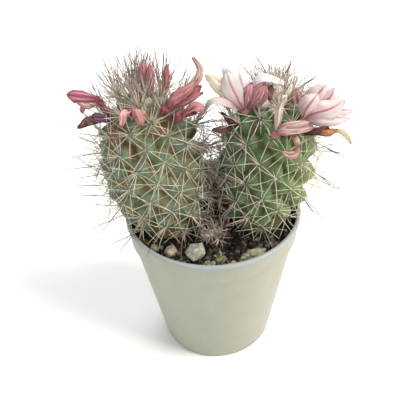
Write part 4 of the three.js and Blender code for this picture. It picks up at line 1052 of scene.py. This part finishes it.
buds = {
    "bud_left_tall": ("bud", (-21.6, 0, 107.4), (-20.5, 1, 119.8), 1.3),
    "bud_left_short": ("bud", (-18.4, -2, 107), (-18.3, -0.2, 119), 1.2),
    "bud_left_side": ("bud", (-14.8, 0.8, 105.6), (-12.8, 1, 117.6), 1.2),
    "bud_right_striped": ("brown", (27.8, -3.8, 101.8), (28.6, -3, 109.4), 1.8),
    "bud_right_crown": ("brown", (19.8, -3.4, 105.8), (20.3, -3, 111), 1.2),
}


# A look: its slot, the pleats of its petals with their depth, crumple and cup, and its pale, middle and
# deep colour
def lookOf(slot, pleats, depth, crumple, cup, *colors, fresh=False):
    return {"slot": slot, "pleats": pleats, "depth": depth, "crumple": crumple, "cup": cup, "colors": colors,
            "fresh": fresh}


looks = {
    "open": lookOf("open_petal", 2.2, 0.02, 0.03, 0.2,
                   (0.475, 0.455, 0.43), (0.52, 0.27, 0.285), (0.29, 0.05, 0.055), fresh=True),
    "rosy": lookOf("open_petal", 2.6, 0.025, 0.03, 0.22,
                   (0.66, 0.55, 0.54), (0.58, 0.3, 0.33), (0.34, 0.07, 0.1), fresh=True),
    "lilac": lookOf("open_petal", 2.0, 0.012, 0.02, 0.2,
                    (0.73, 0.69, 0.73), (0.68, 0.51, 0.58), (0.52, 0.3, 0.38), fresh=True),
    "cream": lookOf("open_petal", 2.4, 0.02, 0.05, 0.24,
                    (0.7, 0.62, 0.5), (0.64, 0.48, 0.3), (0.48, 0.28, 0.14), fresh=True),
    "back": lookOf("open_petal", 5, 0.03, 0.03, 0.16,
                   (0.65, 0.47, 0.46), (0.45, 0.2, 0.215), (0.18, 0.035, 0.045)),
    "blush": lookOf("pink_petal", 3, 0.06, 0.09, 0.3,
                    (0.74, 0.58, 0.53), (0.64, 0.36, 0.34), (0.34, 0.05, 0.08)),
    "pink": lookOf("pink_petal", 4, 0.07, 0.09, 0.2,
                   (0.63, 0.44, 0.38), (0.44, 0.18, 0.185), (0.18, 0.025, 0.042)),
    "rose": lookOf("pink_petal", 3, 0.07, 0.09, 0.2,
                   (0.65, 0.56, 0.49), (0.53, 0.36, 0.325), (0.34, 0.08, 0.1)),
    "salmon": lookOf("pink_petal", 3, 0.06, 0.08, 0.35,
                     (0.62, 0.43, 0.37), (0.47, 0.22, 0.19), (0.28, 0.065, 0.07)),
    "magenta": lookOf("red_petal", 5, 0.08, 0.1, 0.3,
                      (0.55, 0.27, 0.32), (0.31, 0.08, 0.125), (0.09, 0.012, 0.028)),
    "peach": lookOf("dried_petal", 3, 0.08, 0.1, 0.25,
                    (0.7, 0.57, 0.49), (0.52, 0.33, 0.27), (0.27, 0.11, 0.085)),
    "beige": lookOf("dried_petal", 2, 0.08, 0.07, 0.3,
                    (0.62, 0.575, 0.485), (0.55, 0.46, 0.4), (0.43, 0.2, 0.2)),
    "rust": lookOf("dried_petal", 4, 0.09, 0.1, 0.3,
                   (0.7, 0.4, 0.16), (0.42, 0.16, 0.06), (0.13, 0.04, 0.03)),
    "straw": lookOf("dried_petal", 2, 0.06, 0.08, 0.3,
                    (0.76, 0.71, 0.54), (0.64, 0.54, 0.34), (0.28, 0.16, 0.12)),
    "husk": lookOf("brown_husk", 4, 0.09, 0.13, 0.3,
                   (0.36, 0.2, 0.16), (0.17, 0.065, 0.055), (0.05, 0.018, 0.02)),
    "plum": lookOf("brown_husk", 4, 0.09, 0.13, 0.3,
                   (0.34, 0.2, 0.28), (0.15, 0.07, 0.13), (0.035, 0.014, 0.035)),
    "bud": lookOf("bud", 4, 0.05, 0.05, 0.2,
                  (0.74, 0.42, 0.42), (0.52, 0.17, 0.21), (0.18, 0.035, 0.055)),
    "brown": lookOf("bud", 4, 0.05, 0.05, 0.2,
                    (0.66, 0.48, 0.42), (0.34, 0.15, 0.14), (0.1, 0.03, 0.035)),
}
petal = {
    "across": 12, "along": 30, "thickness": 0.26, "narrowFoot": 0.3, "wave": 0.09, "rim": 0.12,
    "layers": 2, "spread": 0.7, "inner": 0.82, "tubeSteps": 42, "tubeRidges": 7, "tubeDepth": 0.2,
    "tubeSamples": 20, "tubeCrumple": 0.22, "marks": ("along", "across", "ridge"),
}


# Papery petal: a fresh one is pale with a narrow dark midrib and a flush at its foot, an old one is
# streaked lengthwise, with painted shade in the furrows of its pleats and painted highlights on their ridges
def petalPaper(look):
    form = looks[look]
    pale, middle, deep = form["colors"]
    paint = Paint(look + "_petals")
    along = paint.attribute("along")
    across = paint.attribute("across")
    ridge = paint.attribute("ridge")
    tone = paint.attribute("tone")
    off = paint.math("ABSOLUTE", across - 0.5) * 2
    cloud = paint.grain(1.8 * mm, 4.0, 0.6)
    spot = paint.node("CombineXYZ", {}, {0: across * 6, 1: along * 1.5, 2: tone * 9})
    streak = paint.node("TexNoise", {}, {"Vector": spot, "Scale": 1.6, "Detail": 4.0})
    veins = paint.math("SINE", across * 75 + cloud * 3) * 0.5 + 0.5
    if form["fresh"]:
        midrib = 1 - paint.within(off + 0.08 * cloud, 0.08, 0.22)
        flush = 1 - paint.within(along + 0.3 * cloud + 0.2 * off, 0.25, 0.95)
        color = paint.mix(paint.within(streak, 0.42, 0.72) * 0.4, pale, middle)
        color = paint.mix(flush * 0.66, color, middle)
        color = paint.mix(midrib * (1 - paint.within(along, 0.86, 1.0)) * 0.85, color, deep)
        color = paint.mix(paint.within(along, 0.6, 1.0) * 0.35, color, (0.72, 0.68, 0.67))
        color = paint.mix((1 - paint.within(along, 0.0, 0.22)) * 0.7, color, deep)
        color = paint.mix(veins * 0.08, color, middle)
        # Painted shade: grey patches along the edges of a fresh petal
        edgeShade = paint.within(off, 0.7, 1.0) * paint.within(cloud, 0.35, 0.65)
        color = paint.mix(edgeShade * 0.4, color, (0.40, 0.36, 0.33))
    else:
        # Real streaks, with painted highlights on the ridges of pleats and tubes and painted shade in their
        # furrows
        share = paint.within(ridge * 0.35 + streak * 1.1 - 0.12 * off, 0.32, 1.0)
        color = paint.ramp(share, deep, middle, middle, pale)
        foot = 1 - paint.within(along + 0.25 * cloud, 0.15, 0.6)
        color = paint.mix(foot * 0.6, color, deep)
        color = paint.mix(veins * 0.2, color, middle)
        color = paint.mix(paint.within(along + 0.1 * streak, 0.93, 1.05) * 0.6, color, deep)
    relief = paint.bump(veins * 0.35 + streak * 0.8 + cloud * 0.4, 0.14 * mm)
    return paint.finish(Base_Color=color, Roughness=0.5 + 0.2 * cloud, Normal=relief, Specular_IOR_Level=0.3,
                        Subsurface_Weight=0.25 if form["fresh"] else 0.1, Subsurface_Scale=0.0015,
                        Subsurface_Radius=(1.0, 0.6, 0.6))


# A smooth curve through points, at a share of the way, with the way it runs there
def curveAt(points, share):
    count = len(points) - 1
    spot = min(max(share, 0), 0.99999) * count
    i = int(spot)
    t = spot - i
    before = points[i - 1] if i else points[0] * 2 - points[1]
    after = points[i + 2] if i + 2 <= count else points[-1] * 2 - points[-2]
    a, b = points[i], points[i + 1]
    stepIn = math.sqrt((a - before).length)
    step = math.sqrt((b - a).length)
    stepOut = math.sqrt((after - b).length)
    leave = ((a - before) / stepIn - (b - before) / (stepIn + step) + (b - a) / step) * step
    arrive = ((b - a) / step - (after - a) / (step + stepOut) + (after - b) / stepOut) * step
    bend = 3 * (b - a) - 2 * leave - arrive
    curl = 2 * (a - b) + leave + arrive
    way = leave + 2 * bend * t + 3 * curl * t ** 2
    return a + leave * t + bend * t ** 2 + curl * t ** 3, way.normalized()


def petalWidth(share):
    if share < 0.5:
        return petal["narrowFoot"] + (1 - petal["narrowFoot"]) * math.sin(math.pi * share) ** 0.9
    return max(math.cos(math.pi * (share - 0.5)), 0) ** 0.75


# Adds one petal or strap to a flower: a grid bent along its path, pleated, rippled and given a thickness
def addPetal(flower, path, width, across, form, rng):
    sheet = bmesh.new()
    bmesh.ops.create_grid(sheet, x_segments=petal["across"], y_segments=petal["along"], size=1)
    layers = [sheet.verts.layers.float.new(mark) for mark in petal["marks"]]
    shift = anyPlace(rng, 0, 50)
    sway = rng.uniform(-0.05, 0.05) * width

    def roughness(x, y, z):
        return noise.noise(Vector((x, y, z)) + shift)

    for vert in sheet.verts:
        off = vert.co.x
        share = (vert.co.y + 1) / 2
        middle, ahead = curveAt(path, share)
        side = (across - ahead * across.dot(ahead)).normalized()
        face = ahead.cross(side)
        wide = width * max(petalWidth(share), 0.02)
        twist = 0.6 * roughness(share * 2, 5, 0)
        pleat = math.sin((off + twist * form["crumple"] * 4) * math.pi * form["pleats"] + shift.x)
        crease = roughness(off * 2.3, share * 4.5, 3) * form["crumple"] * 2
        wave = roughness(off * 1.1, share * 3.2, 0) * petal["wave"] * off ** 2
        frill = roughness(off, share * 8, 7) * petal["rim"] * form["crumple"] * 8
        for layer, value in zip(layers, (share, (off + 1) / 2, 0.5 + 0.5 * pleat)):
            vert[layer] = value
        lift = wide * form["cup"] * (1.5 * abs(off) ** 1.5 - 0.5)
        lift += width * (wave + crease + frill * abs(off) ** 3 + pleat * form["depth"]) * min(1, share * 4)
        inward = 1 - form["crumple"] * abs(off) + frill * 0.5 * off ** 2
        vert.co = middle + side * (wide / 2 * off * inward + sway * share ** 2) + face * lift
    bmesh.ops.solidify(sheet, geom=sheet.faces[:], thickness=petal["thickness"])
    bmesh.ops.recalc_face_normals(sheet, faces=sheet.faces)
    for mark, layer in zip(petal["marks"], layers):
        flower[mark] += [vert[layer] for vert in sheet.verts]
    flower["tone"] += [rng.random()] * len(sheet.verts)
    addBody(flower, sheet)


def addBody(flower, bm):
    mesh = meshOf(bm, "part")
    flower["bm"].from_mesh(mesh)
    bpy.data.meshes.remove(mesh)


# Adds a tube or bud: an outline turned round its axis, ridged, and stood between two places
def addTube(flower, foot, tip, radii, rng, ridges=petal["tubeRidges"], twist=0.8):
    length = (tip - foot).length
    corners = [Vector((0, 0, 0))] + [Vector((radius, 0, share * length)) for share, radius in radii]
    corners.append(Vector((0, 0, length)))
    count = petal["tubeSamples"]
    samples = [curveAt(corners, k / count)[0] for k in range(1, count)]
    outline = [(0, 0)] + [(max(spot.x, 0.03), spot.z) for spot in samples] + [(0, length)]
    tube = turned(outline, petal["tubeSteps"])
    stand = standing(foot, tip)
    shift = Vector((rng.uniform(0, 50), 0, 0))
    tone = rng.random()
    for vert in tube.verts:
        angle = math.atan2(vert.co.y, vert.co.x)
        share = vert.co.z / length
        ridge = abs(math.cos((angle + twist * share) * ridges / 2))
        for mark, value in zip(petal["marks"], (share, (angle * ridges / fullTurn) % 1, ridge)):
            flower[mark].append(value)
        crumple = noise.noise(vert.co * 0.5 + shift) * petal["tubeCrumple"]
        swell = 1 + petal["tubeDepth"] * (ridge - 0.75) + crumple
        vert.co.x *= swell
        vert.co.y *= swell
        vert.co = stand @ vert.co
    flower["tone"] += [tone] * len(tube.verts)
    bmesh.ops.recalc_face_normals(tube, faces=tube.faces)
    addBody(flower, tube)


def newFlower():
    return {"bm": bmesh.new(), "tone": [], **{mark: [] for mark in petal["marks"]}}


def finishFlower(flower, node, look, papers):
    marks = {mark: flower[mark] for mark in petal["marks"] + ("tone",)}
    newPiece(f"{node}_{look}", flower["bm"], papers[look], [node], marks=marks)


def makeFlower(name, spec, papers, seed):
    rng = random.Random(seed)
    parts = {}
    for look, foot, tip, radii in spec.get("tubes", []):
        addTube(parts.setdefault(look, newFlower()), Vector(foot), Vector(tip), radii, rng)
    for look, width, across, path in spec["straps"]:
        form = looks[look]
        places = [Vector(place) for place in path]
        for layer in range(1 if form["fresh"] else petal["layers"]):
            away = anyPlace(rng, -1, 1) * petal["spread"] * layer
            bent = [place + away * k / (len(places) - 1) for k, place in enumerate(places)]
            wide = width * petal["inner"] ** layer
            addPetal(parts.setdefault(look, newFlower()), bent, wide, Vector(across), form, rng)
    for look, flower in parts.items():
        finishFlower(flower, name, look, papers)


def makeBud(name, spec, papers, seed):
    look, foot, tip, wide = spec
    bud = newFlower()
    radii = ((0, wide * 0.45), (0.3, wide * 0.7), (0.6, wide), (0.82, wide * 0.8))
    addTube(bud, Vector(foot), Vector(tip), radii, random.Random(seed), ridges=5, twist=1.6)
    finishFlower(bud, name, look, papers)


# Stamens: thin filaments with their anthers round a style with its lobes
tuft = {
    "perLength": 6, "filament": 0.028, "filamentTip": 0.0168, "cuts": (0.3, 0.55, 0.8), "bow": 0.09,
    "length": (0.62, 1.0), "splay": (0.85, 1.2), "anther": (0.26, 0.26, 0.42), "style": 1.5,
    "styleLength": 1.2, "lobes": 6, "lobeSize": 7, "lobeReach": 1.1, "lobeRise": 0.7,
}


def makeStamens(name, spec, face, seed):
    rng = random.Random(seed)
    _, foot, throat, _ = spec["tubes"][0]
    throat = Vector(throat)
    axis = (throat - Vector(foot)).normalized()
    right = axis.cross(up).normalized()
    over = right.cross(axis)
    thread = threadOf(tuft["filament"], tuft["filamentTip"], tuft["cuts"])
    for vert in thread.verts:
        vert.co.x += tuft["bow"] * math.sin(math.pi * vert.co.z)
    filament = meshOf(thread, "filament")
    ball = bmesh.new()
    bmesh.ops.create_icosphere(ball, subdivisions=1, radius=1)
    anther = meshOf(ball, "anther")
    bm = bmesh.new()
    kinds = []

    def add(template, matrix, kind):
        addCopy(bm, template, matrix)
        kinds.extend([kind] * len(template.vertices))

    def addThread(start, end, roll, kind, thick=1):
        stand = standing(start, end, roll, (end - start).length)
        add(filament, stand @ stretched(thick, thick, 1), kind)

    def outward(angle):
        return right * math.cos(angle) + over * math.sin(angle)

    reach = spec["stamens"]["length"]
    count = int(reach * tuft["perLength"])
    for i in range(count):
        out = outward(i * goldenAngle)
        splay = spec["stamens"]["spread"] * math.sqrt((i + 0.5) / count) * rng.uniform(*tuft["splay"])
        start = throat + axis * 0.2 + out * splay
        way = axis * math.cos(splay) + out * math.sin(splay)
        tip = start + way * (reach * rng.uniform(*tuft["length"]))
        addThread(start, tip, rng.uniform(0, 6), 0.0)
        add(anther, standing(tip, tip + anyWay(rng)) @ stretched(*tuft["anther"]), 1.0)
    styleEnd = throat + axis * reach * tuft["styleLength"]
    addThread(throat, styleEnd, 0, 0.5, tuft["style"])
    for i in range(tuft["lobes"]):
        lobe = styleEnd + axis * tuft["lobeRise"] + outward(i * fullTurn / tuft["lobes"]) * tuft["lobeReach"]
        addThread(styleEnd, lobe, 0, 0.5, tuft["lobeSize"])
    marks = {"kind": kinds, "tone": [rng.random() for _ in kinds]}
    newPiece(name + "_tuft", bm, face, [name + "_stamens"], marks=marks)


def stamenLook():
    paint = Paint("stamens")
    kind = paint.attribute("kind")
    tone = paint.attribute("tone")
    anther = paint.mix(tone, (0.68, 0.42, 0.10), (0.80, 0.60, 0.22))
    thread = paint.mix(tone, (0.78, 0.62, 0.46), (0.76, 0.68, 0.50))
    color = paint.mix(paint.within(kind, 0.2, 0.4), thread, (0.66, 0.56, 0.42))
    color = paint.mix(paint.within(kind, 0.6, 0.9), color, anther)
    dust = paint.grain(0.15 * mm, 2.0)
    return paint.finish(Base_Color=color, Roughness=0.7, Normal=paint.bump(dust, 0.08 * mm))


def makeFlowers():
    papers = {look: petalPaper(look) for look in looks}
    stamenFace = stamenLook()
    for seed, (name, spec) in enumerate(flowers.items()):
        makeFlower(name, spec, papers, seed + 40)
        if "stamens" in spec:
            makeStamens(name, spec, stamenFace, seed + 70)
    for seed, (name, spec) in enumerate(buds.items()):
        makeBud(name, spec, papers, seed)


makeFlowers()
print("flowers and buds made")
